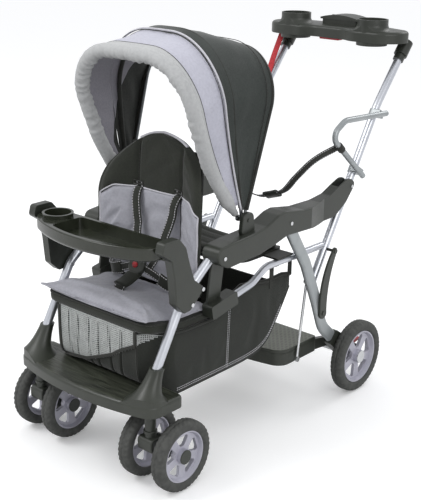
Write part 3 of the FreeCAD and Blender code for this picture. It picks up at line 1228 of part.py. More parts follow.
def shoulder_straps(pad):
    """Two shoulder straps that lie on the pad's face, drawn together towards the buckle."""
    route = []
    reach = BACK_WING * 2 + BACK_PAD_THICKNESS * 2
    for share in SHOULDER_ROUTE_SHARES:
        up = SHOULDER_SLOT_UP * share
        x = SHOULDER_X * (SHOULDER_DRAW_SHARE + (1 - SHOULDER_DRAW_SHARE) * share)
        y, z = back_place(up, reach)
        behind = back_place(up, 0)
        inward = point(0, behind[0] - y, behind[1] - z)
        inward.normalize()
        met = min(first_hit(pad, point(edge, y, z), inward, reach)
                  for edge in (x - STRAP_WIDTH / 2, x, x + STRAP_WIDTH / 2))
        route.append(point(x, y, z) + inward * (met - STRAP_THICKNESS / 2 - SOFT_GAP * 3))
    return both_sides(strap(route, STRAP_WIDTH, STRAP_THICKNESS, SHOULDER_X, ACROSS))


def lap_harness(pad):
    """Crotch strap, buckle and the two lap belts lying on the seat pad."""
    over = SEAT_BOARD_BOTTOM + SEAT_BOARD_THICKNESS + SEAT_PAD_THICKNESS * 3
    sky = SEAT_PAD_THICKNESS * 3
    met = min(first_hit(pad, point(0, y, over), -UP, sky)
              for y in (BUCKLE_Y - STRAP_WIDTH * 1.6, BUCKLE_Y, BUCKLE_Y + BUCKLE_DEPTH))
    top = over - met + SOFT_GAP
    buckle = box(-BUCKLE_WIDTH / 2, BUCKLE_WIDTH / 2, BUCKLE_Y, BUCKLE_Y + BUCKLE_DEPTH, top,
                 top + BUCKLE_THICKNESS)
    buckle = rounded(buckle, BUCKLE_THICKNESS / 4, lambda edge: True)
    crotch = box(-STRAP_WIDTH / 2, STRAP_WIDTH / 2, BUCKLE_Y - STRAP_WIDTH * 1.6, BUCKLE_Y + STRAP_WIDTH / 2,
                 top, top + STRAP_THICKNESS)
    middle_z = top + BUCKLE_THICKNESS / 2
    belt = strap([point(BUCKLE_WIDTH / 2 - STRAP_THICKNESS, BUCKLE_Y + BUCKLE_DEPTH / 2, middle_z),
                  point(BUCKLE_WIDTH * 1.6, BUCKLE_Y + BUCKLE_DEPTH, middle_z),
                  point(SEAT_HALF_WIDTH * 0.62, CROTCH_REAR_Y, middle_z)],
                 STRAP_WIDTH * 0.6, STRAP_THICKNESS, STRAP_WIDTH, UP)
    return fused([buckle, crotch, belt, mirrored(belt)])


def basket_outline(inset):
    height = BASKET_TOP - BASKET_FLOOR
    points = []
    for along, above in BASKET_OUTLINE_SHARES:
        points.append((BASKET_FRONT_Y + along * BASKET_LENGTH, BASKET_FLOOR + above * height))
    if inset == 0:
        return points
    centre_y = BASKET_FRONT_Y + BASKET_LENGTH / 2
    centre_z = (BASKET_FLOOR + BASKET_TOP) / 2
    scale_y = 1 - 2 * inset / BASKET_LENGTH
    lifted = []
    for y, z in points:
        raised = z + OVERRUN * 4 if z >= BASKET_TOP - height * 0.02 else max(z, BASKET_FLOOR) + inset
        lifted.append((centre_y + (y - centre_y) * scale_y, raised))
    return lifted


def basket_block(inset):
    side = side_plate(basket_outline(inset), BASKET_CORNER, inset - BASKET_HALF_WIDTH,
                      BASKET_HALF_WIDTH - inset)
    front = BASKET_FRONT_Y + inset
    rear = BASKET_FRONT_Y + BASKET_LENGTH + OVERRUN
    plan = plan_plate(symmetric([(BASKET_HALF_WIDTH - inset, rear), (BASKET_HALF_WIDTH - inset, BASKET_SHOULDER_Y),
                                 (BASKET_FRONT_HALF_WIDTH - inset, front)]),
                      BASKET_CORNER, 0, BASKET_TOP * 2)
    return side.common(plan)


def basket():
    """A sewn bag hung below the seats: open on top, with a net window in its front."""
    body = basket_block(0).cut(basket_block(BASKET_WALL))
    return body.cut(net_window(0))


def net_window(gap):
    """The block that the front net fills, in the bag's sloping front wall."""
    height = BASKET_TOP - BASKET_FLOOR
    half = BASKET_FRONT_HALF_WIDTH - BASKET_CORNER - gap
    return box(-half, half, BASKET_FRONT_Y - OVERRUN, BASKET_FRONT_Y + BASKET_LENGTH * 0.14,
               BASKET_FLOOR + height * 0.2 + gap, BASKET_TOP - NET_MARGIN - gap)


def basket_net():
    """One flat net panel with square gaps, set in the window of the front wall."""
    height = BASKET_TOP - BASKET_FLOOR
    low_z = BASKET_FLOOR + height * 0.2 + SOFT_GAP
    high_z = BASKET_TOP - NET_MARGIN - SOFT_GAP
    half = BASKET_FRONT_HALF_WIDTH - BASKET_CORNER - SOFT_GAP

    def front_at(z):
        share = (BASKET_TOP - z) / height
        return BASKET_FRONT_Y + BASKET_LENGTH * BASKET_OUTLINE_SHARES[1][0] * share

    low = point(0, front_at(low_z), low_z)
    high = point(0, front_at(high_z), high_z)
    up = high - low
    tall = up.Length
    up.normalize()
    corner = low - ACROSS * half
    outer = Part.makePolygon([corner, corner + ACROSS * 2 * half, corner + ACROSS * 2 * half + up * tall,
                              corner + up * tall, corner])
    wires = [outer]
    step_x = (2 * half - NET_BAR) / NET_COLUMNS
    step_z = (tall - NET_BAR) / NET_ROWS
    for column in range(NET_COLUMNS):
        for row in range(NET_ROWS):
            start = corner + ACROSS * (NET_BAR + column * step_x) + up * (NET_BAR + row * step_z)
            wide = ACROSS * (step_x - NET_BAR)
            high_side = up * (step_z - NET_BAR)
            wires.append(Part.makePolygon([start, start + wide, start + wide + high_side, start + high_side,
                                           start]))
    face = Part.makeFace(wires, "Part::FaceMakerBullseye")
    normal = up.cross(ACROSS)
    return face.extrude(normal * -NET_THICKNESS)


def basket_straps():
    """Webbing that hangs the bag's side edge from each seat rail, turned out under the rail."""
    top = RAIL_HEIGHT - RAIL_RADIUS - SOFT_GAP
    height = BASKET_TOP - BASKET_FLOOR
    pieces = []
    for along, above in BASKET_HANG_SHARES:
        low_y = BASKET_FRONT_Y + along * BASKET_LENGTH - HANGER_STRAP_WIDTH / 2
        high_y = low_y + HANGER_STRAP_WIDTH
        z = BASKET_FLOOR + above * height - BASKET_CORNER / 2
        x = BASKET_HALF_WIDTH + SOFT_GAP
        drop = box(x, x + HANGER_STRAP_THICKNESS, low_y, high_y, z, top)
        tab = box(x, SIDE_X, low_y, high_y, top - HANGER_STRAP_THICKNESS, top)
        pieces.append(fused([drop, tab]))
    return Part.makeCompound(pieces + [mirrored(piece) for piece in pieces])


def bench_section(y, low, high, sag):
    """A dished seat section across the stroller, lowest in its middle, a little wider than the seat."""
    half = BENCH_HALF_WIDTH + OVERRUN
    edges = [Part.Arc(point(-half, y, low), point(0, y, low - sag), point(half, y, low)).toShape(),
             Part.LineSegment(point(half, y, low), point(half, y, high)).toShape(),
             Part.Arc(point(half, y, high), point(0, y, high - sag), point(-half, y, high)).toShape(),
             Part.LineSegment(point(-half, y, high), point(-half, y, low)).toShape()]
    return Part.Wire(edges)


def bench_slab(low, thickness, inset):
    """A dished slab, trimmed to the seat's rounded plan, drawn in by the inset."""
    length = BENCH_REAR_Y - BENCH_FRONT_Y + OVERRUN * 2
    face = Part.Face(bench_section(BENCH_FRONT_Y - OVERRUN, low, low + thickness, BENCH_SAG))
    body = face.extrude(REARWARD * length)
    half = BENCH_HALF_WIDTH - inset
    outline = symmetric([(half, BENCH_REAR_Y - inset), (half, BENCH_FRONT_Y + inset)])
    trim = plan_plate(outline, BENCH_CORNER - inset, low - BENCH_SAG - OVERRUN, low + thickness + OVERRUN)
    return body.common(trim)


def bench_low():
    return RAIL_HEIGHT + RAIL_RADIUS + SOFT_GAP


def bench_board():
    """The bench's shell, with a shoe at each side that slides along the rail."""
    low = bench_low()
    slab = bench_slab(low, BENCH_BOARD_THICKNESS, 0)
    shoe = box(BENCH_HALF_WIDTH - BENCH_FOOT_WIDTH, SIDE_X + RAIL_RADIUS, RAIL_TURN_Y + BENCH_FOOT_WIDTH * 2,
               BENCH_REAR_Y - BENCH_CORNER, low, low + BENCH_BOARD_THICKNESS / 2)
    return fused([slab, shoe, mirrored(shoe)])


def bench_pad():
    low = bench_low() + BENCH_BOARD_THICKNESS + SOFT_GAP
    return bench_slab(low, BENCH_PAD_THICKNESS, BENCH_RIM)


def bow_frame(angle):
    """The outward and sideways directions of a hood bow's plane."""
    lean = math.radians(angle)
    return Vector(0, math.cos(lean), math.sin(lean))


def bow_corners(angle, reach, half_width, start, base_offset, grow, aside=0):
    """The corners of a bow, or of cloth around it, moved aside along the plane's rearward normal."""
    out = bow_frame(angle)
    pivot = point(0, HOOD_PIVOT_Y, HOOD_PIVOT_Z) + Vector(0, out.z, -out.y) * aside
    base = HOOD_BASE_HALF_WIDTH - base_offset
    side = half_width + grow
    low = base + (side - base) * start / reach + grow * (1 - start / reach)
    top = reach + grow
    crown = top + half_width * BOW_CROWN_SHARE
    return [pivot + ACROSS * low + out * start, pivot + ACROSS * side + out * top, pivot + out * crown,
            pivot - ACROSS * side + out * top, pivot - ACROSS * low + out * start]


def bow(angle, reach, half_width, corner, stack):
    corners = bow_corners(angle, reach, half_width, BOW_RADIUS, stack * BOW_STACK, 0)
    return tube(corners, corner, BOW_RADIUS)


def cloth_band(angle, reach, half_width, corner, start, stack, aside=0):
    """A closed thin band just outside a bow, as one end of a cloth panel."""
    inner_grow = BOW_RADIUS + HOOD_CLOTH_GAP
    outer_grow = inner_grow + HOOD_CLOTH
    inner = bow_corners(angle, reach, half_width, start, stack * BOW_STACK, inner_grow, aside)
    outer = bow_corners(angle, reach, half_width, start, stack * BOW_STACK, outer_grow, aside)
    loop = outer + list(reversed(inner))
    outer_radii = [0] + [corner + outer_grow] * 3 + [0]
    radii = outer_radii + [0] + [corner + inner_grow] * 3 + [0]
    return rounded_wire(loop, radii)


def hood_back_panel():
    """The rear cloth panel, between the rear bow and the middle bow."""
    rear = cloth_band(BACK_BOW_ANGLE, BACK_BOW_REACH, BACK_BOW_HALF_WIDTH, BACK_BOW_CORNER, CLOTH_START, 0)
    front = cloth_band(MIDDLE_BOW_ANGLE, MIDDLE_BOW_REACH, MIDDLE_BOW_HALF_WIDTH, MIDDLE_BOW_CORNER,
                       CLOTH_START, 1)
    return Part.makeLoft([rear, front], True, True)


def hood_front_panel():
    """The front cloth panel, from the middle bow to the edge roll."""
    rear_angle = MIDDLE_BOW_ANGLE + SOFT_GAP
    rear = cloth_band(rear_angle, MIDDLE_BOW_REACH, MIDDLE_BOW_HALF_WIDTH, MIDDLE_BOW_CORNER, CLOTH_START * 2, 1)
    aside = ROLL_RADIUS + SOFT_GAP
    front = cloth_band(FRONT_BOW_ANGLE, FRONT_BOW_REACH, FRONT_BOW_HALF_WIDTH, FRONT_BOW_CORNER,
                       CLOTH_START * 3, 2, aside)
    return Part.makeLoft([rear, front], True, True)


def hood_roll():
    """The padded edge roll around the front bow, tapered at its two feet."""
    corners = bow_corners(FRONT_BOW_ANGLE, FRONT_BOW_REACH, FRONT_BOW_HALF_WIDTH, ROLL_START, 2 * BOW_STACK, 0)
    tips = bow_corners(FRONT_BOW_ANGLE, FRONT_BOW_REACH, FRONT_BOW_HALF_WIDTH, ROLL_TIP_START, 2 * BOW_STACK, 0)
    ring = tube(corners, FRONT_BOW_CORNER, ROLL_RADIUS)
    cones = []
    for tip, shoulder in ((tips[0], corners[0]), (tips[-1], corners[-1])):
        run = shoulder - tip
        cones.append(Part.makeCone(ROLL_TIP_RADIUS, ROLL_RADIUS, run.Length, tip, run))
    core = tube(bow_corners(FRONT_BOW_ANGLE, FRONT_BOW_REACH, FRONT_BOW_HALF_WIDTH, BOW_RADIUS, 2 * BOW_STACK, 0),
                FRONT_BOW_CORNER, BOW_RADIUS + SOFT_GAP)
    return fused([ring] + cones).cut(core)


def hood_bracket():
    """A moulded bracket clipped over the side moulding, with the bows' pivot pin."""
    half = HOOD_BRACKET_WIDTH / 2
    low_y, low_z = moulding_point(HOOD_PIVOT_SHARES[0], 0.2)
    inner = HOOD_BASE_HALF_WIDTH + BOW_STACK / 2 + SOFT_GAP
    outer = inner + HOOD_BRACKET_THICKNESS
    plate = side_plate([(HOOD_PIVOT_Y - half * 1.4, low_z), (HOOD_PIVOT_Y + half * 1.4, low_z),
                        (HOOD_PIVOT_Y + half, HOOD_PIVOT_Z + half), (HOOD_PIVOT_Y - half, HOOD_PIVOT_Z + half)],
                       half * 0.8, inner, outer)
    plate = rounded(plate, HOOD_BRACKET_EDGE, lambda edge: all(abs(v.X - outer) < 1e-3 for v in edge.Vertexes))
    plate = plate.cut(side_moulding())
    pin_end = HOOD_BASE_HALF_WIDTH - 2.5 * BOW_STACK
    pin = rod(point(pin_end, HOOD_PIVOT_Y, HOOD_PIVOT_Z), point(inner, HOOD_PIVOT_Y, HOOD_PIVOT_Z), BOLT_SHANK_RADIUS)
    head = rod(point(outer, HOOD_PIVOT_Y, HOOD_PIVOT_Z), point(outer + BOLT_HEAD_HEIGHT, HOOD_PIVOT_Y, HOOD_PIVOT_Z),
               BOLT_HEAD_RADIUS)
    return fused([plate, pin, head])


def bow_eye(stack):
    """The flat eye that turns on the hood pin at the foot of a bow."""
    x = HOOD_BASE_HALF_WIDTH - stack * BOW_STACK
    half = BOW_RADIUS * 0.9
    eye = rod(point(x - half, HOOD_PIVOT_Y, HOOD_PIVOT_Z), point(x + half, HOOD_PIVOT_Y, HOOD_PIVOT_Z),
              BOW_RADIUS * 2.2)
    return eye


def finished_bow(angle, reach, half_width, corner, stack):
    eye = bow_eye(stack)
    body = fused([bow(angle, reach, half_width, corner, stack), eye, mirrored(eye)])
    half = HOOD_BASE_HALF_WIDTH + OVERRUN
    bore = rod(point(-half, HOOD_PIVOT_Y, HOOD_PIVOT_Z), point(half, HOOD_PIVOT_Y, HOOD_PIVOT_Z),
               BOLT_SHANK_RADIUS + RUNNING_FIT)
    return body.cut(bore)


def console_outline(inset):
    half = CONSOLE_HALF_WIDTH - inset
    front = CONSOLE_FRONT_Y + inset
    rear = CONSOLE_REAR_Y - inset
    lid_side, shoulder, end, cup_inner, waist = [half * share for share in CONSOLE_OUTLINE_SHARES]
    return symmetric([(lid_side, rear), (shoulder, rear - CONSOLE_WAIST / 3), (half, rear - CONSOLE_WAIST * 2),
                      (half, front + CONSOLE_CORNER), (end, front), (cup_inner, front),
                      (waist, front + CONSOLE_WAIST)])


def sleeve():
    """The socket under the console that grips the handle tube's top."""
    top = along_upper_handle(HANDLE_UPPER_LENGTH)
    low = along_upper_handle(HANDLE_UPPER_LENGTH - SLEEVE_LENGTH)
    step = along_upper_handle(HANDLE_UPPER_LENGTH - SLEEVE_LENGTH * SLEEVE_STEP_SHARE)
    return fused([rod(low, top, TUBE_RADIUS + SLEEVE_WALL / 2), rod(step, top, TUBE_RADIUS + SLEEVE_WALL)])


def console():
    """The parent console: a moulded tray with two drink wells and a lidded bin."""
    wall = CONSOLE_WALL
    shell = plan_plate(console_outline(0), CONSOLE_TURN, CONSOLE_BOTTOM, CONSOLE_TOP)
    shell = rounded(shell, CONSOLE_EDGE,
                    lambda edge: all(abs(v.Z - CONSOLE_TOP) < 1e-3 for v in edge.Vertexes))
    hollow = plan_plate(console_outline(CONSOLE_SIDE_WALL), CONSOLE_TURN, CONSOLE_BOTTOM - OVERRUN,
                        CONSOLE_TOP - wall)
    shell = shell.cut(hollow)
    outer_radius = CUP_RADIUS + CUP_WALL
    cup = Part.makeCylinder(outer_radius, CUP_RIM_Z - CUP_FLOOR_Z, point(CUP_X, CUP_Y, CUP_FLOOR_Z))
    rings = []
    for up, spread in CUP_SHOULDER_SHARES:
        z = CONSOLE_TOP - wall + up * CUP_SHOULDER_SHARE * (CUP_RIM_Z - CONSOLE_TOP)
        ring = Part.Circle(point(CUP_X, CUP_Y, z), UP, outer_radius + RUNNING_FIT + CUP_FLARE * spread)
        rings.append(Part.Wire(ring.toShape()))
    flare = Part.makeLoft(rings, True, False)
    flare = flare.common(plan_plate(console_outline(wall / 2), CONSOLE_TURN, CONSOLE_BOTTOM, CUP_RIM_Z))
    bin_half = BIN_HALF_WIDTH
    bin_rear = BIN_REAR_Y
    bin_body = plan_plate(symmetric([(bin_half, bin_rear), (bin_half, BIN_FRONT_Y)]), CONSOLE_WALL * 3,
                          CONSOLE_BOTTOM, BIN_RIM_Z)
    grip = sleeve()
    guide_x = TRIGGER_HALF_WIDTH + SOFT_GAP
    guide = box(guide_x, guide_x + wall, TRIGGER_Y - TRIGGER_DEPTH / 2, TRIGGER_Y + TRIGGER_DEPTH / 2,
                CONSOLE_BOTTOM, CONSOLE_TOP - wall / 2)
    body = fused([shell, cup, mirrored(cup), flare, mirrored(flare), bin_body, grip, mirrored(grip), guide,
                  mirrored(guide)])
    bore_axis = along_upper_handle(1) - along_upper_handle(0)
    bore = Part.makeCylinder(TUBE_RADIUS + PRESS_GAP, SLEEVE_LENGTH + OVERRUN,
                             along_upper_handle(HANDLE_UPPER_LENGTH - SLEEVE_LENGTH - OVERRUN), bore_axis)
    well = Part.makeCylinder(CUP_RADIUS, CUP_RIM_Z, point(CUP_X, CUP_Y, CUP_FLOOR_Z + wall))
    bin_hole = plan_plate(symmetric([(bin_half - BIN_WALL, bin_rear - BIN_WALL),
                                     (bin_half - BIN_WALL, BIN_FRONT_Y + BIN_WALL)]), CONSOLE_WALL * 2,
                          CONSOLE_BOTTOM + BIN_WALL, BIN_RIM_Z + OVERRUN)
    button_hole = Part.makeCylinder(BUTTON_RADIUS + RUNNING_FIT * 4, BUTTON_DEPTH * 3,
                                    point(BUTTON_X, BUTTON_Y, CONSOLE_TOP - BUTTON_DEPTH))
    body = body.cut(Part.makeCompound([bore, mirrored(bore), well, mirrored(well), bin_hole, button_hole]))
    return body.cut(trigger_window())


def trigger_window():
    low_z = CONSOLE_BOTTOM - TRIGGER_THICKNESS / 2
    return box(-TRIGGER_HALF_WIDTH - SOFT_GAP, TRIGGER_HALF_WIDTH + SOFT_GAP, TRIGGER_Y - TRIGGER_DEPTH / 2 - SOFT_GAP,
               TRIGGER_Y + TRIGGER_DEPTH / 2 + SOFT_GAP, low_z, CONSOLE_TOP - CONSOLE_WALL)


def fold_trigger():
    """The red squeeze bar under the console that frees the fold."""
    low = CONSOLE_BOTTOM - TRIGGER_THICKNESS / 2
    body = box(-TRIGGER_HALF_WIDTH, TRIGGER_HALF_WIDTH, TRIGGER_Y - TRIGGER_DEPTH / 2, TRIGGER_Y + TRIGGER_DEPTH / 2,
               low, low + TRIGGER_THICKNESS)
    return rounded(body, TRIGGER_THICKNESS / 4, lambda edge: True)


def lock_button():
    low = CONSOLE_TOP - CONSOLE_WALL
    stem = Part.makeCylinder(BUTTON_RADIUS, BUTTON_RISE + CONSOLE_WALL, point(BUTTON_X, BUTTON_Y, low))
    return stem


def lid_hinge():
    return CONSOLE_REAR_Y - CONSOLE_WALL - LID_KNUCKLE_RADIUS, BIN_RIM_Z + LID_KNUCKLE_RADIUS + SOFT_GAP


def console_lid():
    """A crowned lid over the bin, hinged along its rear edge."""
    low = BIN_RIM_Z + SOFT_GAP
    hinge_y, hinge_z = lid_hinge()
    front = BIN_FRONT_Y - OVERRUN / 2
    half = BIN_HALF_WIDTH + OVERRUN / 2
    section = Part.Wire([
        Part.LineSegment(point(-half, front, low), point(half, front, low)).toShape(),
        Part.LineSegment(point(half, front, low), point(half, front, low + LID_THICKNESS)).toShape(),
        Part.Arc(point(half, front, low + LID_THICKNESS), point(0, front, low + LID_THICKNESS + LID_RISE),
                 point(-half, front, low + LID_THICKNESS)).toShape(),
        Part.LineSegment(point(-half, front, low + LID_THICKNESS), point(-half, front, low)).toShape()])
    body = Part.Face(section).extrude(REARWARD * (hinge_y - front))
    knuckle = rod(point(-half, hinge_y, hinge_z), point(half, hinge_y, hinge_z), LID_KNUCKLE_RADIUS)
    return fused([body, knuckle])


def grab_route():
    foot_y = HANDLE_PIVOT_Y + GRAB_FOOT_BEHIND
    foot_z = HANDLE_PIVOT_Z + GRAB_FOOT_ABOVE
    return [point(GRAB_X, foot_y + along * GRAB_LENGTH, foot_z + above * GRAB_HEIGHT)
            for along, above in GRAB_ROUTE_SHARES]


def grab_bar():
    """A bent bar bolted outside the handle tube, for the standing child to hold."""
    return tube(grab_route(), GRAB_BEND_RADIUS, GRAB_RADIUS, TUBE_WALL)


def grab_clamp(along):
    """A moulded saddle that grips the handle tube and the grab bar beside it."""
    low = along_handle(along - CLAMP_LENGTH / 2)
    high = along_handle(along + CLAMP_LENGTH / 2)
    axis = high - low
    radius = TUBE_RADIUS + CLAMP_WALL
    ring = Part.makeCylinder(radius, CLAMP_LENGTH, low, axis)
    axis.normalize()
    normal = Vector(0, -axis.z, axis.y)
    corners = [low + normal * radius, low - normal * radius, high - normal * radius, high + normal * radius]
    saddle = side_plate([(c.y, c.z) for c in corners], CLAMP_WALL, SIDE_X, GRAB_X)
    hole = Part.makeCylinder(TUBE_RADIUS + PRESS_GAP, CLAMP_LENGTH * 2, low - axis * (CLAMP_LENGTH / 2), axis)
    bar_clear = tube(grab_route(), GRAB_BEND_RADIUS, GRAB_RADIUS + PRESS_GAP)
    return fused([ring, saddle]).cut(hole).cut(bar_clear)


def grab_clamps():
    clamps = [grab_clamp(GRAB_TOP_CLAMP_ALONG), grab_clamp(GRAB_LOW_CLAMP_ALONG)]
    return Part.makeCompound(clamps + [mirrored(clamp) for clamp in clamps])


def rear_belt():
    """The rear child's belt, looped round both grab bars and hung in a bow with its buckle."""
    corner, foot = grab_route()[2:]
    run = foot - corner
    centre = corner + run * BELT_LOOP_SHARE
    run.normalize()
    low = centre - run * (BELT_WIDTH / 2)
    inner = GRAB_RADIUS + SOFT_GAP
    loop = Part.makeCylinder(inner + BELT_THICKNESS, BELT_WIDTH, low, run)
    end = point(GRAB_X - inner - BELT_THICKNESS / 2, centre.y, centre.z)
    route = [end, point(end.x * 0.55, end.y - BELT_SAG * 0.5, end.z - BELT_SAG * 0.8),
             point(0, end.y - BELT_SAG * 0.8, end.z - BELT_SAG * 1.1)]
    route += [point(-corner.x, corner.y, corner.z) for corner in reversed(route[:2])]
    belt = strap(route, BELT_WIDTH, BELT_THICKNESS, BELT_SAG, UP)
    middle = route[2]
    buckle = box(-BELT_BUCKLE_LENGTH / 2, BELT_BUCKLE_LENGTH / 2, middle.y - BELT_BUCKLE_THICKNESS / 2,
                 middle.y + BELT_BUCKLE_THICKNESS / 2, middle.z - BELT_BUCKLE_HEIGHT / 2,
                 middle.z + BELT_BUCKLE_HEIGHT / 2)
    buckle = rounded(buckle, BELT_BUCKLE_THICKNESS / 4, lambda edge: True)
    bore = Part.makeCylinder(inner, BELT_WIDTH * 3, low - run * BELT_WIDTH, run)
    return fused([belt, loop, mirrored(loop), buckle]).cut(Part.makeCompound([bore, mirrored(bore)]))


def fold_strap():
    """The red strap pulled tight in front of the left handle tube, from console to tube."""
    lean = math.radians(HANDLE_UPPER_LEAN)
    forward = Vector(0, -math.cos(lean), math.sin(lean))
    top = along_upper_handle(HANDLE_UPPER_LENGTH - SLEEVE_LENGTH / 2, -SIDE_X)
    low = along_upper_handle(HANDLE_UPPER_LENGTH - SLEEVE_LENGTH - FOLD_STRAP_LENGTH, -SIDE_X)
    lift = TUBE_RADIUS + FOLD_STRAP_THICKNESS / 2 + SOFT_GAP
    return strap([top + forward * FOLD_STRAP_OFFSET, low + forward * lift],
                 FOLD_STRAP_WIDTH, FOLD_STRAP_THICKNESS, FOLD_STRAP_WIDTH, ACROSS)


def build():
    """Every piece of the stroller by its node name."""
    pieces = {}
    pieces["front_tubes"] = both_sides(front_tube_finished())
    pieces["footrest"] = footrest()
    moulding = side_moulding()
    pieces["side_moulding_right"] = moulding
    pieces["side_moulding_left"] = mirrored(moulding)
    pieces["tray_arms"] = both_sides(tray_arm())
    pieces["frame_bolts"] = frame_bolts()
    pieces["seat_rails"] = both_sides(seat_rail())
    pieces["rail_brackets"] = both_sides(rail_bracket())
    pieces["seat_board"] = seat_board()
    pad = seat_pad()
    pieces["seat_pad"] = pad
    pieces["lap_harness"] = lap_harness(pad)
    pieces["basket"] = basket()
    pieces["basket_net"] = basket_net()
    pieces["basket_straps"] = basket_straps()
    pieces["hood_brackets"] = both_sides(hood_bracket())
    pieces["hood_back_bow"] = finished_bow(BACK_BOW_ANGLE, BACK_BOW_REACH, BACK_BOW_HALF_WIDTH,
                                           BACK_BOW_CORNER, 0)
    pieces["hood_back_panel"] = hood_back_panel()
    pieces["hood_middle_bow"] = finished_bow(MIDDLE_BOW_ANGLE, MIDDLE_BOW_REACH, MIDDLE_BOW_HALF_WIDTH,
                                             MIDDLE_BOW_CORNER, 1)
    pieces["hood_front_panel"] = hood_front_panel()
    pieces["hood_front_bow"] = finished_bow(FRONT_BOW_ANGLE, FRONT_BOW_REACH, FRONT_BOW_HALF_WIDTH,
                                            FRONT_BOW_CORNER, 2)
    pieces["hood_roll"] = hood_roll()
    pieces["backrest_board"] = backrest_board()
    back_pad = backrest_pad()
    pieces["backrest_pad"] = back_pad
    pieces["shoulder_straps"] = shoulder_straps(back_pad)
    pieces["tray"] = tray()
    handle = handle_tube()
    pieces["handle_tube_right"] = handle
    pieces["handle_tube_left"] = mirrored(handle)
    pieces["console"] = console()
    pieces["console_lid"] = console_lid()
    pieces["fold_trigger"] = fold_trigger()
    pieces["lock_button"] = lock_button()
    pieces["grab_bars"] = both_sides(grab_bar())
    pieces["grab_clamps"] = grab_clamps()
    pieces["rear_belt"] = rear_belt()
    pieces["fold_strap"] = fold_strap()
    leg = rear_leg()
    pieces["rear_leg_right"] = leg
    pieces["rear_leg_left"] = mirrored(leg)
    pieces["rear_axle"] = rear_axle()
    pieces["hub_brackets"] = both_sides(hub_bracket())
    pieces["brake_lever_right"] = brake_lever()
    pieces["brake_lever_left"] = mirrored(brake_lever())
    pieces["links"] = both_sides(link())
    pieces["platform"] = platform()
    pieces["platform_struts"] = both_sides(strut())
    pieces["bench_board"] = bench_board()
    pieces["bench_pad"] = bench_pad()
    fork = caster_fork()
    pieces["caster_right"] = fork
    pieces["caster_left"] = mirrored(fork)
    outer, inner = front_wheel_places()
    for name, x in (("outer", outer), ("inner", inner)):
        tyre, rim = wheel(FRONT_WHEEL_RADIUS, FRONT_WHEEL_WIDTH, AXLE_RADIUS + RUNNING_FIT,
                          point(x, 0, FRONT_WHEEL_RADIUS))
        pieces["front_tyre_right_" + name] = tyre
        pieces["front_rim_right_" + name] = rim
        pieces["front_tyre_left_" + name] = mirrored(tyre)
        pieces["front_rim_left_" + name] = mirrored(rim)
    tyre, rim = wheel(REAR_WHEEL_RADIUS, REAR_WHEEL_WIDTH, REAR_AXLE_RADIUS + RUNNING_FIT,
                      point(TRACK_WIDTH / 2 - REAR_WHEEL_WIDTH / 2, WHEELBASE, REAR_WHEEL_RADIUS))
    pieces["rear_tyre_right"] = tyre
    pieces["rear_rim_right"] = rim
    pieces["rear_tyre_left"] = mirrored(tyre)
    pieces["rear_rim_left"] = mirrored(rim)
    return pieces


def front_tube_finished():
    body = front_tube()
    for y, z in arm_bolt_places() + [(FRONT_BOLT_Y, FRONT_BOLT_Z)]:
        body = body.cut(bolt_hole(y, z))
    return body


def report_places(shift):
    """Print where each joint sits, in the model's own frame."""
    leg_pin = leg_point(*LEG_PIN_SHARES)
    tube_pin = along_handle(-LINK_PIN_BELOW)
    tail = along_handle(-HANDLE_TAIL)
    places = {"handle pivot": (HANDLE_PIVOT_Y, HANDLE_PIVOT_Z), "leg pivot": (LEG_PIVOT_Y, LEG_PIVOT_Z),
              "link at leg": (leg_pin.y, leg_pin.z), "link at tube": (tube_pin.y, tube_pin.z),
              "platform hinge": platform_hinge(), "strut foot": (STRUT_FOOT_Y, STRUT_FOOT_Z),
              "strut top": (tail.y, tail.z), "hood pivot": (HOOD_PIVOT_Y, HOOD_PIVOT_Z),
              "seat back hinge": (BACK_HINGE_Y, BACK_HINGE_Z), "lid hinge": lid_hinge(),
              "brake pivot": brake_place(), "caster": (-CASTER_TRAIL, CASTER_BARREL_LOW),
              "front axle": (0.0, FRONT_WHEEL_RADIUS), "rear axle": (WHEELBASE, REAR_WHEEL_RADIUS)}
    print("shift in y", round(shift, 3), "caster x", caster_x(), "wheel x", front_wheel_places())
    for name, (y, z) in places.items():
        print(name, "y", round(y + shift, 2), "z", round(z, 2))


def main():
    os.makedirs("parts", exist_ok=True)
    pieces = build()
    extents = [shape.optimalBoundingBox(False, False) for shape in pieces.values()]
    lowest = min(extent.YMin for extent in extents)
    highest = max(extent.YMax for extent in extents)
    shift = point(0, -(lowest + highest) / 2, 0)
    for name, shape in sorted(pieces.items()):
        shape.translate(shift)
        shape.exportStep("parts/" + name + ".step")
        valid = "valid" if shape.isValid() else "NOT VALID"
        print(name, len(shape.Solids), "solids", round(shape.Volume / 1000, 1), "cm3", valid)
    report_places(shift.y)


main()
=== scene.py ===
# %% [markdown]
# # A sit and stand stroller
# One padded seat under a folding hood in front, a bench and a standing board behind, and one push
# handle. The rigid pieces come ready made from the frame: here they only get their finishes. What is
# sewn or stuffed is built in this file, piece by piece, around the same frame.

# %% Load the frame
import json
import math

import bpy
import bmesh
import numpy as np
from mathutils import Matrix, Vector, noise


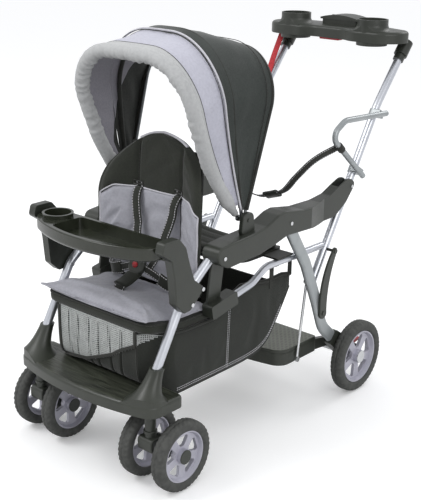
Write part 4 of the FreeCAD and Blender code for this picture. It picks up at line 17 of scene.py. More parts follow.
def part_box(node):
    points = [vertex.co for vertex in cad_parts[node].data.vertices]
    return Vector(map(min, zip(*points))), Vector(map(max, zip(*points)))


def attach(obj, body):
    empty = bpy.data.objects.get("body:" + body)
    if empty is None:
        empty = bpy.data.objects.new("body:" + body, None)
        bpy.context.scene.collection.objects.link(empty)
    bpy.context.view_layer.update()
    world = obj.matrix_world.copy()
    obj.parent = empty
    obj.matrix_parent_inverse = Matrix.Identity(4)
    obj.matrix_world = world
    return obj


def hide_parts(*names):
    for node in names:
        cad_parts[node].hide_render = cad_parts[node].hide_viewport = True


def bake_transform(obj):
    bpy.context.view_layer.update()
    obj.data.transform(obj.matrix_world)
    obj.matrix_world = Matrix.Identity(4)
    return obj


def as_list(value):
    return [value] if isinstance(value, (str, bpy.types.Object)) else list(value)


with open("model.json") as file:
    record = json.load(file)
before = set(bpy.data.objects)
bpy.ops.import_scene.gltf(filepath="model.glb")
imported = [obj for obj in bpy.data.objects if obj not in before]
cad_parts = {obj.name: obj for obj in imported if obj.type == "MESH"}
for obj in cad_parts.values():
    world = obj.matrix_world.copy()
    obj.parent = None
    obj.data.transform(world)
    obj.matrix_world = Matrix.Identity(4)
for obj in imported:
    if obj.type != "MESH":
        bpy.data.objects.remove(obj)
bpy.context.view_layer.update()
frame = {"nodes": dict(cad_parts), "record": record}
NODES = frame["nodes"]

# %% [markdown]
# Every size below is a real one in millimetres, measured from the front axle, which is how the frame
# was drawn: x across, y rearward from the front axle and z above the ground. One function turns such a
# place into the frame's metres, so a piece lands where the frame carries it.

# %% Places in the frame
MM = 0.001
TYRE_LOW, TYRE_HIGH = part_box("front_tyre_right_outer")
AXLE_Y = (TYRE_LOW.y + TYRE_HIGH.y) / 2


def place(x, y, z):
    return Vector((x * MM, AXLE_Y + y * MM, z * MM))


def own(node):
    """A node's lowest and highest corners, in millimetres from the front axle."""
    low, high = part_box(node)
    return [Vector((c.x / MM, (c.y - AXLE_Y) / MM, c.z / MM)) for c in (low, high)]


# %% [markdown]
# ## The camera
# The photograph looks down on the front right corner from about two and a half metres. Its place, lens
# and small tilt were worked out from the wheels and tubes, whose true places are known.

# %% Camera
EYE = place(1728.82, -1597.72, 1335.40)
YAW, PITCH, ROLL = (math.radians(a) for a in (41.07, -18.54, 0.87))
SENSOR = 36.0
FOCAL_SHARE_OF_HEIGHT = 2.06262
look = Vector((-math.sin(YAW) * math.cos(PITCH), math.cos(YAW) * math.cos(PITCH), math.sin(PITCH)))
level = Vector((math.cos(YAW), math.sin(YAW), 0))
over = level.cross(look)
right = level * math.cos(ROLL) + over * math.sin(ROLL)
top = over * math.cos(ROLL) - level * math.sin(ROLL)
camera_data = bpy.data.cameras.new("camera")
camera_data.sensor_width = SENSOR
camera_data.lens = SENSOR * FOCAL_SHARE_OF_HEIGHT
camera = bpy.data.objects.new("camera", camera_data)
camera.matrix_world = Matrix((
    (right.x, top.x, -look.x, EYE.x),
    (right.y, top.y, -look.y, EYE.y),
    (right.z, top.z, -look.z, EYE.z),
    (0, 0, 0, 1)))
bpy.context.scene.collection.objects.link(camera)
bpy.context.scene.camera = camera
print("camera", [round(v, 3) for v in EYE], "lens", round(camera_data.lens, 1))

# %% [markdown]
# ## Light and floor
# A pale studio: an even white surround, one large soft lamp high on the left and a weaker one on the
# right, so that every edge gets a gentle highlight. The floor shows white to the camera and still takes
# the shadows.

# %% Studio
def node(tree, kind, settings=None, **inputs):
    """Adds a shader node, sets its properties and joins or fills its inputs by name."""
    made = tree.nodes.new(kind)
    for key, value in (settings or {}).items():
        setattr(made, key, value)
    for key, value in inputs.items():
        by_number = key[0] == "i" and key[1:].isdigit()
        socket = made.inputs[int(key[1:]) if by_number else key.replace("_", " ")]
        if isinstance(value, bpy.types.NodeSocket):
            tree.links.new(value, socket)
        else:
            socket.default_value = value
    return made


def maths(tree, operation, *values):
    """One sum, product or comparison of numbers and sockets, as a socket."""
    inputs = {"i" + str(number): value for number, value in enumerate(values)}
    return node(tree, "ShaderNodeMath", {"operation": operation}, **inputs).outputs[0]


def linear(hex_colour):
    """An sRGB hex colour as linear RGBA."""
    parts = [int(hex_colour[i:i + 2], 16) / 255 for i in (1, 3, 5)]
    return tuple(c / 12.92 if c <= 0.04045 else ((c + 0.055) / 1.055) ** 2.4 for c in parts) + (1.0,)


def mixed(tree, factor, first, second):
    """The first colour where the factor is zero and the second where it is one."""
    return node(tree, "ShaderNodeMix", {"data_type": "RGBA"}, i0=factor, i6=first, i7=second).outputs[2]


WHITE = (1, 1, 1, 1)
FLOOR_RADIUS = 40.0
FLOOR_Z = -0.0005
FLOOR_LIFT = 0.16


def floor_material():
    material = bpy.data.materials.new("studio_floor")
    material.use_nodes = True
    tree = material.node_tree
    tree.nodes.clear()
    rays = node(tree, "ShaderNodeLightPath").outputs
    shown = maths(tree, "MAXIMUM", rays["Is Camera Ray"], rays["Is Glossy Ray"])
    tint = mixed(tree, shown, linear("#b9b9b9"), WHITE)
    diffuse = node(tree, "ShaderNodeBsdfDiffuse", Color=tint)
    lit = maths(tree, "MULTIPLY", rays["Is Camera Ray"], FLOOR_LIFT)
    glow = node(tree, "ShaderNodeEmission", Color=WHITE, Strength=lit)
    both = node(tree, "ShaderNodeAddShader", i0=diffuse.outputs[0], i1=glow.outputs[0])
    node(tree, "ShaderNodeOutputMaterial", Surface=both.outputs[0])
    return material


bpy.ops.mesh.primitive_circle_add(vertices=96, radius=FLOOR_RADIUS, fill_type="NGON",
                                  location=(0, 0, FLOOR_Z))
floor = bpy.context.object
floor.name = "floor"
floor.data.materials.append(floor_material())


SURROUND_STRENGTH = 0.86


def studio_world():
    world = bpy.data.worlds.new("studio")
    world.use_nodes = True
    tree = world.node_tree
    tree.nodes.clear()
    rays = node(tree, "ShaderNodeLightPath").outputs
    shown = maths(tree, "MAXIMUM", rays["Is Camera Ray"], rays["Is Transmission Ray"])
    around = node(tree, "ShaderNodeBackground", Color=linear("#f8f9fb"), Strength=SURROUND_STRENGTH)
    white = node(tree, "ShaderNodeBackground", Color=WHITE, Strength=1.0)
    both = node(tree, "ShaderNodeMixShader", i0=shown, i1=around.outputs[0], i2=white.outputs[0])
    node(tree, "ShaderNodeOutputWorld", Surface=both.outputs[0])
    bpy.context.scene.world = world


def soft_lamp(name, spot, target, size, watts):
    data = bpy.data.lights.new(name, "AREA")
    data.shape = "DISK"
    data.size = size
    data.energy = watts
    lamp = bpy.data.objects.new(name, data)
    lamp.location = spot
    lamp.rotation_mode = "QUATERNION"
    lamp.rotation_quaternion = (Vector(target) - Vector(spot)).to_track_quat("-Z", "Y")
    bpy.context.scene.collection.objects.link(lamp)


# name, place, what it looks at, size in metres, watts
LAMPS = (("key_lamp", (-1.6, -2.6, 3.4), (0, 0, 0.5), 1.8, 56),
         ("fill_lamp", (3.4, -1.2, 2.2), (0, 0, 0.5), 2.2, 30),
         ("rim_lamp", (0.6, 3.4, 3.0), (0, 0, 0.6), 1.6, 26))
studio_world()
for lamp in LAMPS:
    soft_lamp(*lamp)
bpy.context.scene.view_settings.view_transform = "Standard"

# %% [markdown]
# ## Finishes
# Each finish is named for what the real one is. Patterns read Object coordinates, which are metres, so
# a spacing in millimetres becomes a scale of a thousand over it. Cloth made in this file carries its own
# UV map in metres along the sheet, so its weave follows the cloth.

# %% Finishes: tools shared by the materials
def start(name, roughness, metallic=0.0, ior=None, sheen=0.0):
    material = bpy.data.materials.new(name)
    material.use_nodes = True
    tree = material.node_tree
    shader = tree.nodes["Principled BSDF"]
    shader.inputs["Roughness"].default_value = roughness
    shader.inputs["Metallic"].default_value = metallic
    if ior is not None:
        shader.inputs["IOR"].default_value = ior
    if sheen:
        shader.inputs["Sheen Weight"].default_value = sheen
        shader.inputs["Sheen Roughness"].default_value = 0.4
    return material, tree, shader


def shades(tree, factor, dark, light, low=0.3, high=0.7):
    """A colour that goes from dark to light as the factor goes from low to high."""
    ramp = node(tree, "ShaderNodeValToRGB", i0=factor)
    first, last = ramp.color_ramp.elements
    first.position, last.position = low, high
    first.color, last.color = linear(dark), linear(light)
    return ramp.outputs[0]


def speckle(tree, vector, size_mm, detail=2.0):
    """Noise whose grains are about that size."""
    return node(tree, "ShaderNodeTexNoise", Vector=vector, Scale=1 / (size_mm * MM), Detail=detail).outputs[0]


def bump(tree, shader, height, depth_mm, strength=1.0):
    made = node(tree, "ShaderNodeBump", Height=height, Distance=depth_mm * MM, Strength=strength)
    tree.links.new(made.outputs[0], shader.inputs["Normal"])
    return made


def split(tree, vector):
    return node(tree, "ShaderNodeSeparateXYZ", Vector=vector).outputs


def object_vector(tree):
    return node(tree, "ShaderNodeTexCoord").outputs["Object"]


def cloth_vector(tree):
    return node(tree, "ShaderNodeTexCoord").outputs["UV"]


# %% [markdown]
# Moulded polypropylene: a grey black plastic with a fine spark-eroded grain. The grain is a little
# coarser than the real one, so that it shows at this picture's size, and it breaks the highlights up.

# %% Moulded plastic
GRAIN_MM = 1.1
SCUFF_MM = 55.0


def moulded_plastic(name, dark, light, roughness, grain_depth):
    material, tree, shader = start(name, roughness, ior=1.49)
    where = object_vector(tree)
    wear = speckle(tree, where, SCUFF_MM, 4.0)
    tree.links.new(shades(tree, wear, dark, light), shader.inputs["Base Color"])
    grain = speckle(tree, where, GRAIN_MM)
    bump(tree, shader, grain, grain_depth)
    rough = node(tree, "ShaderNodeMapRange", Value=wear, From_Min=0.3, From_Max=0.7,
                 To_Min=roughness - 0.05, To_Max=roughness + 0.06)
    tree.links.new(rough.outputs[0], shader.inputs["Roughness"])
    return material


LEVEL_NORMAL = 0.9


def facing_up(tree, low, high):
    """One on level faces at a height between low and high in millimetres, zero elsewhere."""
    normal = split(tree, node(tree, "ShaderNodeTexCoord").outputs["Normal"])
    up = maths(tree, "GREATER_THAN", normal[2], LEVEL_NORMAL)
    where = split(tree, object_vector(tree))
    above = maths(tree, "GREATER_THAN", where[2], low * MM)
    below = maths(tree, "LESS_THAN", where[2], high * MM)
    return maths(tree, "MULTIPLY", maths(tree, "MULTIPLY", above, below), up)


def stretched(tree, sides):
    """Object coordinates in metres, each side times a number, so that noise draws out into streaks."""
    where = object_vector(tree)
    return node(tree, "ShaderNodeVectorMath", {"operation": "MULTIPLY"}, i0=where, i1=sides).outputs[0]


def grained_deck(name, low, high):
    """Charcoal polypropylene whose deck has a moulded wood grain that runs across the footrest."""
    material = moulded_plastic(name, "#2c2f28", "#373a33", 0.36, 0.10)
    tree = material.node_tree
    shader = tree.nodes["Principled BSDF"]
    deck = facing_up(tree, low, high)
    streaks = speckle(tree, stretched(tree, (0.07, 1.0, 1.0)), 5.0, 6.0)
    bump(tree, shader, maths(tree, "MULTIPLY", streaks, deck), 2.2, 0.9)
    old = shader.inputs["Base Color"].links[0].from_socket
    veins = shades(tree, streaks, "#23261f", "#44473d", 0.35, 0.65)
    tree.links.new(mixed(tree, deck, old, veins), shader.inputs["Base Color"])
    return material


DASH_PITCH_X, DASH_PITCH_Y = 15.0, 9.0
DASH_LONG_SHARE, DASH_WIDE_SHARE = 0.62, 0.42


def dashed_deck(name, low, high):
    """Charcoal polypropylene with rows of recessed anti-slip dashes, staggered; a painted highlight makes its
    level top paler and painted shade makes the dashes darker.
    """
    material = moulded_plastic(name, "#2c2f28", "#373a33", 0.40, 0.10)
    tree = material.node_tree
    shader = tree.nodes["Principled BSDF"]
    deck = facing_up(tree, low, high)
    where = split(tree, object_vector(tree))
    row = maths(tree, "DIVIDE", where[1], DASH_PITCH_Y * MM)
    stagger = maths(tree, "MULTIPLY", maths(tree, "FLOOR", row), 0.5)
    along = maths(tree, "ADD", maths(tree, "DIVIDE", where[0], DASH_PITCH_X * MM), stagger)
    parts = []
    for value, share in ((along, DASH_LONG_SHARE), (row, DASH_WIDE_SHARE)):
        parts.append(maths(tree, "LESS_THAN", maths(tree, "FLOORED_MODULO", value, 1.0), share))
    sunk_dashes_and_painted_shade = maths(tree, "MULTIPLY", maths(tree, "MULTIPLY", *parts), deck)
    bump(tree, shader, maths(tree, "SUBTRACT", 1.0, sunk_dashes_and_painted_shade), 1.4)
    old = shader.inputs["Base Color"].links[0].from_socket
    # Painted highlight: level top faces are drawn in a paler grey, as if lit from above.
    painted_highlight_top = mixed(tree, deck, old, linear("#62655a"))
    # Painted shade: the recessed dashes are drawn darker, as shade in their hollows.
    tree.links.new(mixed(tree, sunk_dashes_and_painted_shade, painted_highlight_top, linear("#3b3e35")), shader.inputs["Base Color"])
    return material


CHARCOAL_PLASTIC = moulded_plastic("moulded_polypropylene_charcoal", "#2b2e28", "#353832", 0.38, 0.10)
GLOSS_PLASTIC = moulded_plastic("polished_abs_charcoal", "#262920", "#32352c", 0.16, 0.02)
RED_PLASTIC = moulded_plastic("moulded_abs_red", "#a3222a", "#b52c33", 0.35, 0.05)
BLACK_BOARD = moulded_plastic("moulded_polypropylene_black", "#1c1e19", "#252721", 0.5, 0.10)

# %% [markdown]
# The frame is steel tube with a silver powder coat: metallic flakes under a satin clear layer. The
# orange-peel of a sprayed coat shows as a faint, slow ripple in its highlights.

# %% Sprayed and anodised metal
PEEL_MM = 3.0


def sprayed_metal(name, dark, light, roughness, metallic=0.85):
    material, tree, shader = start(name, roughness, metallic)
    where = object_vector(tree)
    scuffs = speckle(tree, where, SCUFF_MM, 3.0)
    tree.links.new(shades(tree, scuffs, dark, light), shader.inputs["Base Color"])
    bump(tree, shader, speckle(tree, where, PEEL_MM), 0.03, 0.6)
    return material


SILVER_TUBE = sprayed_metal("powder_coated_steel_silver", "#c3c6cd", "#d3d5db", 0.30)
GREY_TUBE = sprayed_metal("powder_coated_steel_grey", "#999ea0", "#a9adae", 0.38, 0.6)
BOW_STEEL = sprayed_metal("spring_steel_bow", "#6d7072", "#7c7f80", 0.40)
BOLT_STEEL = sprayed_metal("zinc_plated_steel", "#b9bbbd", "#d2d3d4", 0.25, 1.0)
RIM_PLASTIC = sprayed_metal("painted_abs_rim", "#aeadb9", "#bcbbc6", 0.36, 0.25)

# %% [markdown]
# Tyres are foamed EVA: matt, slightly grainy, dusty on the tread.

# %% Tyre foam
DUST_MM = 14.0
FOAM_GRAIN_MM = 1.4


def tyre_foam():
    material, tree, shader = start("foamed_eva_tyre", 0.75, ior=1.5)
    where = object_vector(tree)
    dust = speckle(tree, where, DUST_MM, 4.0)
    tree.links.new(shades(tree, dust, "#3f403e", "#50514e"), shader.inputs["Base Color"])
    bump(tree, shader, speckle(tree, where, FOAM_GRAIN_MM), 0.25)
    return material


TYRE_FOAM = tyre_foam()

# %% [markdown]
# Cloth. The light panels are a plain woven polyester, close and smooth with a slight sheen. The dark
# ones are a coarser two-tone weave of black and grey yarn, which the eye sees as a mottled green black.
# Warp and weft are two sets of bands along the cloth's UV map. The real threads are near half a
# millimetre apart, too fine for this picture, so the bands are drawn three times as wide.

# %% Woven cloth
FADE_MM = 90.0


def woven(name, dark, light, thread_mm, depth_mm, roughness=0.85, sheen=0.25, mottle_mm=6.0, follows="UV"):
    """Crossed bands of thread, mottled, with a slow fade; it follows the cloth or the object."""
    material, tree, shader = start(name, roughness, ior=1.5, sheen=sheen)
    where = cloth_vector(tree) if follows == "UV" else object_vector(tree)
    bands = []
    for axis in ("X", "Y"):
        band = node(tree, "ShaderNodeTexWave", {"wave_type": "BANDS", "bands_direction": axis}, Vector=where,
                    Scale=math.pi / 10 / (thread_mm * MM), Distortion=0.4)
        bands.append(band.outputs[1])
    weave = maths(tree, "MULTIPLY", *bands)
    solid = object_vector(tree)
    mottle = speckle(tree, solid, mottle_mm, 5.0)
    fade = speckle(tree, solid, FADE_MM)
    both = maths(tree, "MULTIPLY_ADD", fade, 0.5, maths(tree, "MULTIPLY_ADD", weave, 0.35, mottle))
    tree.links.new(shades(tree, both, dark, light, 0.5, 1.1), shader.inputs["Base Color"])
    bump(tree, shader, weave, depth_mm, 0.7)
    return material


SEAT_FABRIC = woven("woven_polyester_lavender_grey", "#9c9ca4", "#adadb5", 1.5, 0.10)
HOOD_FABRIC = woven("woven_polyester_light_grey", "#b3b3bf", "#c3c3cf", 1.5, 0.08)
ROLL_FABRIC = woven("woven_polyester_pale_grey", "#acadae", "#bcbdbd", 1.5, 0.08)
CHARCOAL_FABRIC = woven("woven_two_tone_charcoal", "#242826", "#383d3a", 1.8, 0.16, mottle_mm=3.0)
HEAD_FABRIC = woven("woven_polyester_black", "#171914", "#25281f", 1.6, 0.10, mottle_mm=4.0)
DARK_MESH = woven("raschel_mesh_black", "#141612", "#262923", 2.6, 0.3, mottle_mm=3.0)
BLACK_WEBBING = woven("polyester_webbing_black", "#1d1e1b", "#33342f", 2.4, 0.35, sheen=0.1)
RED_WEBBING = woven("polyester_webbing_red", "#a3262e", "#c23a40", 2.4, 0.3, sheen=0.1)
WHITE_THREAD = woven("polyester_thread_white", "#c9c8cc", "#dedde0", 0.8, 0.05)
PIPING = woven("piping_pale_grey", "#bdbcc2", "#cfced4", 1.0, 0.05)
BOUND_EDGE = woven("binding_black", "#191a17", "#272823", 1.6, 0.15)

# %% [markdown]
# The net in the basket's front is a knitted grey mesh: holes between fine bars. The holes are real
# transparency, in a pattern of small rounds, staggered from row to row as knitted net is.

# %% Knitted net
NET_PITCH_MM = 5.2
NET_HOLE_SHARE = 0.38


def knitted_net():
    material, tree, shader = start("knitted_mesh_light_grey", 0.8, ior=1.5)
    where = cloth_vector(tree)
    dots = node(tree, "ShaderNodeTexVoronoi", {"voronoi_dimensions": "2D", "feature": "F1"}, Vector=where,
                Scale=1 / (NET_PITCH_MM * MM), Randomness=0.12)
    hole = maths(tree, "LESS_THAN", dots.outputs["Distance"], NET_HOLE_SHARE)
    tree.links.new(maths(tree, "SUBTRACT", 1.0, hole), shader.inputs["Alpha"])
    tree.links.new(shades(tree, speckle(tree, object_vector(tree), 20.0), "#b9bcba", "#cfd2d0"),
                   shader.inputs["Base Color"])
    return material


GREY_NET = knitted_net()

# %% [markdown]
# Every rigid node of the frame keeps its shape and takes the finish that its record names.

# %% Finishes for the frame's own pieces
FINISHES = {
    "silver_tube": SILVER_TUBE, "grey_tube": GREY_TUBE, "bow_steel": BOW_STEEL, "bolt_steel": BOLT_STEEL,
    "charcoal_plastic": CHARCOAL_PLASTIC, "red_plastic": RED_PLASTIC, "rim_plastic": RIM_PLASTIC,
    "tyre_rubber": TYRE_FOAM, "seat_fabric": SEAT_FABRIC, "light_fabric": HOOD_FABRIC,
    "charcoal_fabric": CHARCOAL_FABRIC, "dark_mesh_fabric": DARK_MESH, "grey_net": GREY_NET,
    "black_webbing": BLACK_WEBBING, "red_webbing": RED_WEBBING, "black_board": BLACK_BOARD}


FOOTREST_LIP_MM = 4
STAND_BELOW_MM, STAND_ABOVE_MM = 6, 1


def finish_nodes():
    """Each node takes its slot's finish, and a few take one of their own."""
    slots = {entry["node"]: entry["material_slot"] for entry in frame["record"]["subparts"]}
    deck_low, deck_high = own("footrest")
    stand_high = own("platform")[1].z
    special = {
        "footrest": grained_deck("moulded_polypropylene_wood_grain", deck_low.z + FOOTREST_LIP_MM,
                                 deck_high.z),
        "platform": dashed_deck("moulded_polypropylene_anti_slip", stand_high - STAND_BELOW_MM,
                                stand_high + STAND_ABOVE_MM),
        "tray": GLOSS_PLASTIC,
        "basket_straps": woven("polyester_webbing_black_hangers", "#1d1e1b", "#33342f", 2.4, 0.35,
                               sheen=0.1, follows="object")}
    for name, obj in NODES.items():
        obj.data.materials.clear()
        obj.data.materials.append(special.get(name) or FINISHES[slots[name]])
    return slots


SLOTS = finish_nodes()
print("finished", len(SLOTS), "nodes")

NAMES = {-1: "left", 1: "right"}

# %% [markdown]
# ## Meshes from curves
# Most sewn pieces are sheets that run along a curve, so two small tools make them: one turns rows of
# points into a smooth quad mesh with a UV map in metres, and one sweeps a closed section along a path.

# %% Mesh tools
def piece(name, vertices, faces, materials, uvs=None, smooth=True):
    mesh = bpy.data.meshes.new(name)
    mesh.from_pydata([tuple(v) for v in vertices], [], faces)
    for material in materials:
        mesh.materials.append(material)
    if uvs is not None:
        layer = mesh.uv_layers.new(name="UVMap")
        layer.data.foreach_set("uv", np.array(uvs, float).ravel())
    mesh.polygons.foreach_set("use_smooth", [smooth] * len(mesh.polygons))
    mesh.update()
    made = bpy.data.objects.new(name, mesh)
    bpy.context.scene.collection.objects.link(made)
    return made


def rows_to_mesh(name, rows, materials, ring=False, loop=False, caps=False, paint=None):
    """Rows of points to quads. ring closes each row, loop joins the last row to the first."""
    rows = np.array(rows, float)
    count, across = rows.shape[:2]
    steps_across = across if ring else across - 1
    steps_along = count if loop else count - 1
    wide = np.linalg.norm(np.roll(rows, -1, axis=1) - rows, axis=2).mean(axis=0)
    tall = np.linalg.norm(np.roll(rows, -1, axis=0) - rows, axis=2).mean(axis=1)
    u = np.concatenate([[0], np.cumsum(wide)])
    v = np.concatenate([[0], np.cumsum(tall)])
    faces, uvs, places = [], [], []
    for i in range(steps_along):
        for j in range(steps_across):
            i2, j2 = (i + 1) % count, (j + 1) % across
            faces.append((i * across + j, i * across + j2, i2 * across + j2, i2 * across + j))
            uvs += [(u[j], v[i]), (u[j + 1], v[i]), (u[j + 1], v[i + 1]), (u[j], v[i + 1])]
            places.append((i, j))
    if caps:
        for i, order in ((0, -1), (count - 1, 1)):
            ends = list(range(i * across, (i + 1) * across))[::order]
            faces.append(tuple(ends))
            uvs += [(rows[i][k % across][0], rows[i][k % across][2]) for k in ends]
            places.append((i, 0))
    made = piece(name, rows.reshape(-1, 3), faces, materials, uvs)
    if paint is not None:
        for polygon, (i, j) in zip(made.data.polygons, places):
            polygon.material_index = paint(i, j)
    return made


def outward(made):
    """Turns a closed mesh's faces to point outwards."""
    mesh = bmesh.new()
    mesh.from_mesh(made.data)
    bmesh.ops.recalc_face_normals(mesh, faces=mesh.faces)
    mesh.to_mesh(made.data)
    mesh.free()
    return made


def loaf(name, rows, *materials, **how):
    """A closed body from rings of points."""
    return outward(rows_to_mesh(name, rows, materials, ring=True, caps=True, **how))


def area_of(made):
    return sum(polygon.area for polygon in made.data.polygons)


def rounded(value, power):
    """A sine or cosine drawn towards a square one: the smaller the power, the squarer."""
    return math.copysign(abs(value) ** power, value)


def smooth_line(corners, steps):
    """A Catmull-Rom line through the corners, resampled evenly."""
    points = [np.array(c, float) for c in corners]
    points = [2 * points[0] - points[1]] + points + [2 * points[-1] - points[-2]]
    fine = []
    for k in range(1, len(points) - 2):
        a, b, c, d = points[k - 1:k + 3]
        for t in np.linspace(0, 1, 16, endpoint=False):
            fine.append(0.5 * (2 * b + (c - a) * t + (2 * a - 5 * b + 4 * c - d) * t * t
                               + (3 * b - a - 3 * c + d) * t ** 3))
    fine.append(points[-2])
    return resample(fine, steps)


def resample(line, steps):
    line = np.array(line, float)
    length = np.concatenate([[0], np.cumsum(np.linalg.norm(np.diff(line, axis=0), axis=1))])
    wanted = np.linspace(0, length[-1], steps)
    return np.stack([np.interp(wanted, length, line[:, k]) for k in range(line.shape[1])], axis=1)


def sweep(name, path, section, materials, hint=(1, 0, 0), scale=None, loop=False, paint=None):
    """Sweeps a closed section, in (side, up) metres, along a path. side starts along the hint."""
    path = np.array(path, float)
    run = np.roll(path, -1, axis=0) - np.roll(path, 1, axis=0)
    if not loop:
        run[0], run[-1] = path[1] - path[0], path[-1] - path[-2]
    run /= np.linalg.norm(run, axis=1)[:, None]
    side = np.array(hint, float)
    rows = []
    for k, (where, ahead) in enumerate(zip(path, run)):
        side = side - ahead * (side @ ahead)
        side /= np.linalg.norm(side)
        up = np.cross(ahead, side)
        grow = 1.0 if scale is None else scale(k / (len(path) - 1))
        rows.append([where + side * (a * grow) + up * (b * grow) for a, b in section])
    return outward(rows_to_mesh(name, rows, materials, ring=True, loop=loop, caps=not loop, paint=paint))


def round_section(radius, sides):
    return [(radius * MM * math.cos(math.tau * k / sides), radius * MM * math.sin(math.tau * k / sides))
            for k in range(sides)]


def strap_section(width, thickness):
    """A flat strap's section with softened edges."""
    a, b = width * MM / 2, thickness * MM / 2
    lower = [(-a, -b * 0.5), (-a + b, -b), (a - b, -b), (a, -b * 0.5)]
    return lower + [(x, -y) for x, y in reversed(lower)]


def done(made, body, slot, *nodes):
    """The piece rides on its body and stands for the frame's nodes, which are hidden; its slot is not used.
    """
    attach(made, body)
    if nodes:
        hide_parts(*nodes)
    return made


def trim(name, line, section, material, body, slot, *nodes, **how):
    """A section swept along a line, riding on its body; its slot is not used."""
    return done(sweep(name, line, section, [material], **how), body, slot, *nodes)


def wave(a, b, c, size):
    """A smooth random value at a place, the same on every run; size is the wave's length in mm."""
    return noise.noise(Vector((a, b, c)) / size)


# %% [markdown]
# ## The hood
# Three steel bows turn on one pin at each side, and two panels of cloth are sewn to them: a pale one
# from the edge roll to the middle bow and a charcoal one from there back. Cloth pulled over bows is
# tight along them and hollow between them, so each panel is a ruled fan with a small hollow, and soft
# ripples where the seam gathers it. A formula gives the arch of any bow, and the panels blend its sizes.

# %% Hood: one arch
PIVOT_Y, PIVOT_Z = 276.1, 606.0
ARCH_STEPS = 97


def smoothstep(value, low, high):
    t = min(1.0, max(0.0, (value - low) / (high - low)))
    return t * t * (3 - 2 * t)


def arch(bow, start, grow=0.0, steps=ARCH_STEPS):
    """Places along a bow from its right foot over the top to its left foot, in mm."""
    base, half, reach = bow["base"] + grow, bow["half"] + grow, bow["reach"] + grow
    corner = bow["corner"] + grow
    leg, bend, flat = reach - start - corner, corner * math.pi / 2, half - corner
    total = leg + bend + flat
    angle = math.radians(bow["angle"])
    made = []
    for k in range(steps):
        t = k / (steps - 1) * 2
        s = total * (t if t <= 1 else 2 - t)
        if s <= leg:
            across, out = base + (half - base) * s / max(leg, 1), start + s
        elif s <= leg + bend:
            turn = (s - leg) / corner
            across, out = half - corner + corner * math.cos(turn), reach - corner + corner * math.sin(turn)
        else:
            across, out = half - corner - (s - leg - bend), reach
        out += bow["crown"] * (1 - (across / half) ** 2) * smoothstep(out, reach - corner * 1.3, reach)
        share = out / reach
        ahead = bow["bulge"] * 4 * share * (1 - share)
        y = PIVOT_Y + out * math.cos(angle) - ahead * math.sin(angle)
        z = PIVOT_Z + out * math.sin(angle) + ahead * math.cos(angle)
        made.append((across if t <= 1 else -across, y, z))
    return made


BOW_SIZES = ("angle", "base", "half", "reach", "corner", "crown", "bulge")
REAR_BOW = dict(zip(BOW_SIZES, (75.0, 202.0, 216.0, 400.0, 118.0, 16.0, 0.0)))
MIDDLE_BOW = dict(zip(BOW_SIZES, (96.0, 196.0, 191.0, 434.0, 160.0, 13.0, 9.0)))
FRONT_BOW = dict(zip(BOW_SIZES, (116.0, 184.0, 184.0, 438.0, 120.0, 9.0, 34.0)))


def bow_at(angle):
    """The arch at any angle of the fan, and its share of the way between its two bows."""
    first, last = (REAR_BOW, MIDDLE_BOW) if angle < MIDDLE_BOW["angle"] else (MIDDLE_BOW, FRONT_BOW)
    share = (angle - first["angle"]) / (last["angle"] - first["angle"])
    return {key: first[key] + (last[key] - first[key]) * share for key in first}, share


# %% [markdown]
# Two panels cover the fan: charcoal from the rear bow to a piped seam a little ahead of the middle bow,
# and pale from there to the hem. Inside, the lining is pale in front and black mesh behind. Their border
# is a slanting line, so it is drawn by a UV map of its own that counts degrees on both sides of it.

# %% Hood: panels
def arch_line(bow, start, grow, steps=160):
    return [place(*p) for p in resample(arch(bow, start, grow, 400), steps)]


CLOTH_OUT = 6.0
SEAM_ANGLE, HEM_ANGLE = 101.0, 113.5
MIDDLE_TURN_SHARE = 0.48571
FRONT_TURN_EARLY = 5
HOLLOW = 6.5
ARCH_LENGTH = 1150.0
LONG_FOLD, LONG_FOLD_SIZE = 5.2, 34
CREASE, SEAM_CREASE, CREASE_SIZE = 1.1, 3.2, 17
BORDER_ANGLE, BORDER_LEAN = 113.0, 0.136
BORDER_NEAR, BORDER_FAR = 150.0, 360.0
LINING_MAP_DEGREES = 60.0
PANEL_THICK = 2.0


def line_length(line):
    return sum((Vector(a) - Vector(b)).length for a, b in zip(line, line[1:]))


def lining_side(y, z):
    """Degrees ahead of the lining's border, which leans forward towards the pin."""
    far = math.hypot(y - PIVOT_Y, z - PIVOT_Z)
    border = BORDER_ANGLE - BORDER_LEAN * (min(max(far, BORDER_NEAR), BORDER_FAR) - BORDER_NEAR)
    return math.degrees(math.atan2(z - PIVOT_Z, y - PIVOT_Y)) - border


def two_part_lining():
    material, tree, shader = start("woven_lining_grey_and_raschel_mesh", 0.85, ior=1.5, sheen=0.2)
    side = split(tree, node(tree, "ShaderNodeUVMap", {"uv_map": "lining"}).outputs[0])
    ahead = node(tree, "ShaderNodeMapRange", Value=side[0], From_Min=0.498, From_Max=0.502)
    mottle = speckle(tree, object_vector(tree), 4.0, 5.0)
    tint = mixed(tree, ahead.outputs[0], shades(tree, mottle, "#11130f", "#2b2e29"),
                 shades(tree, mottle, "#8f8d95", "#9c9aa2"))
    tree.links.new(tint, shader.inputs["Base Color"])
    bump(tree, shader, mottle, 0.3, 0.5)
    return material


LINING = two_part_lining()


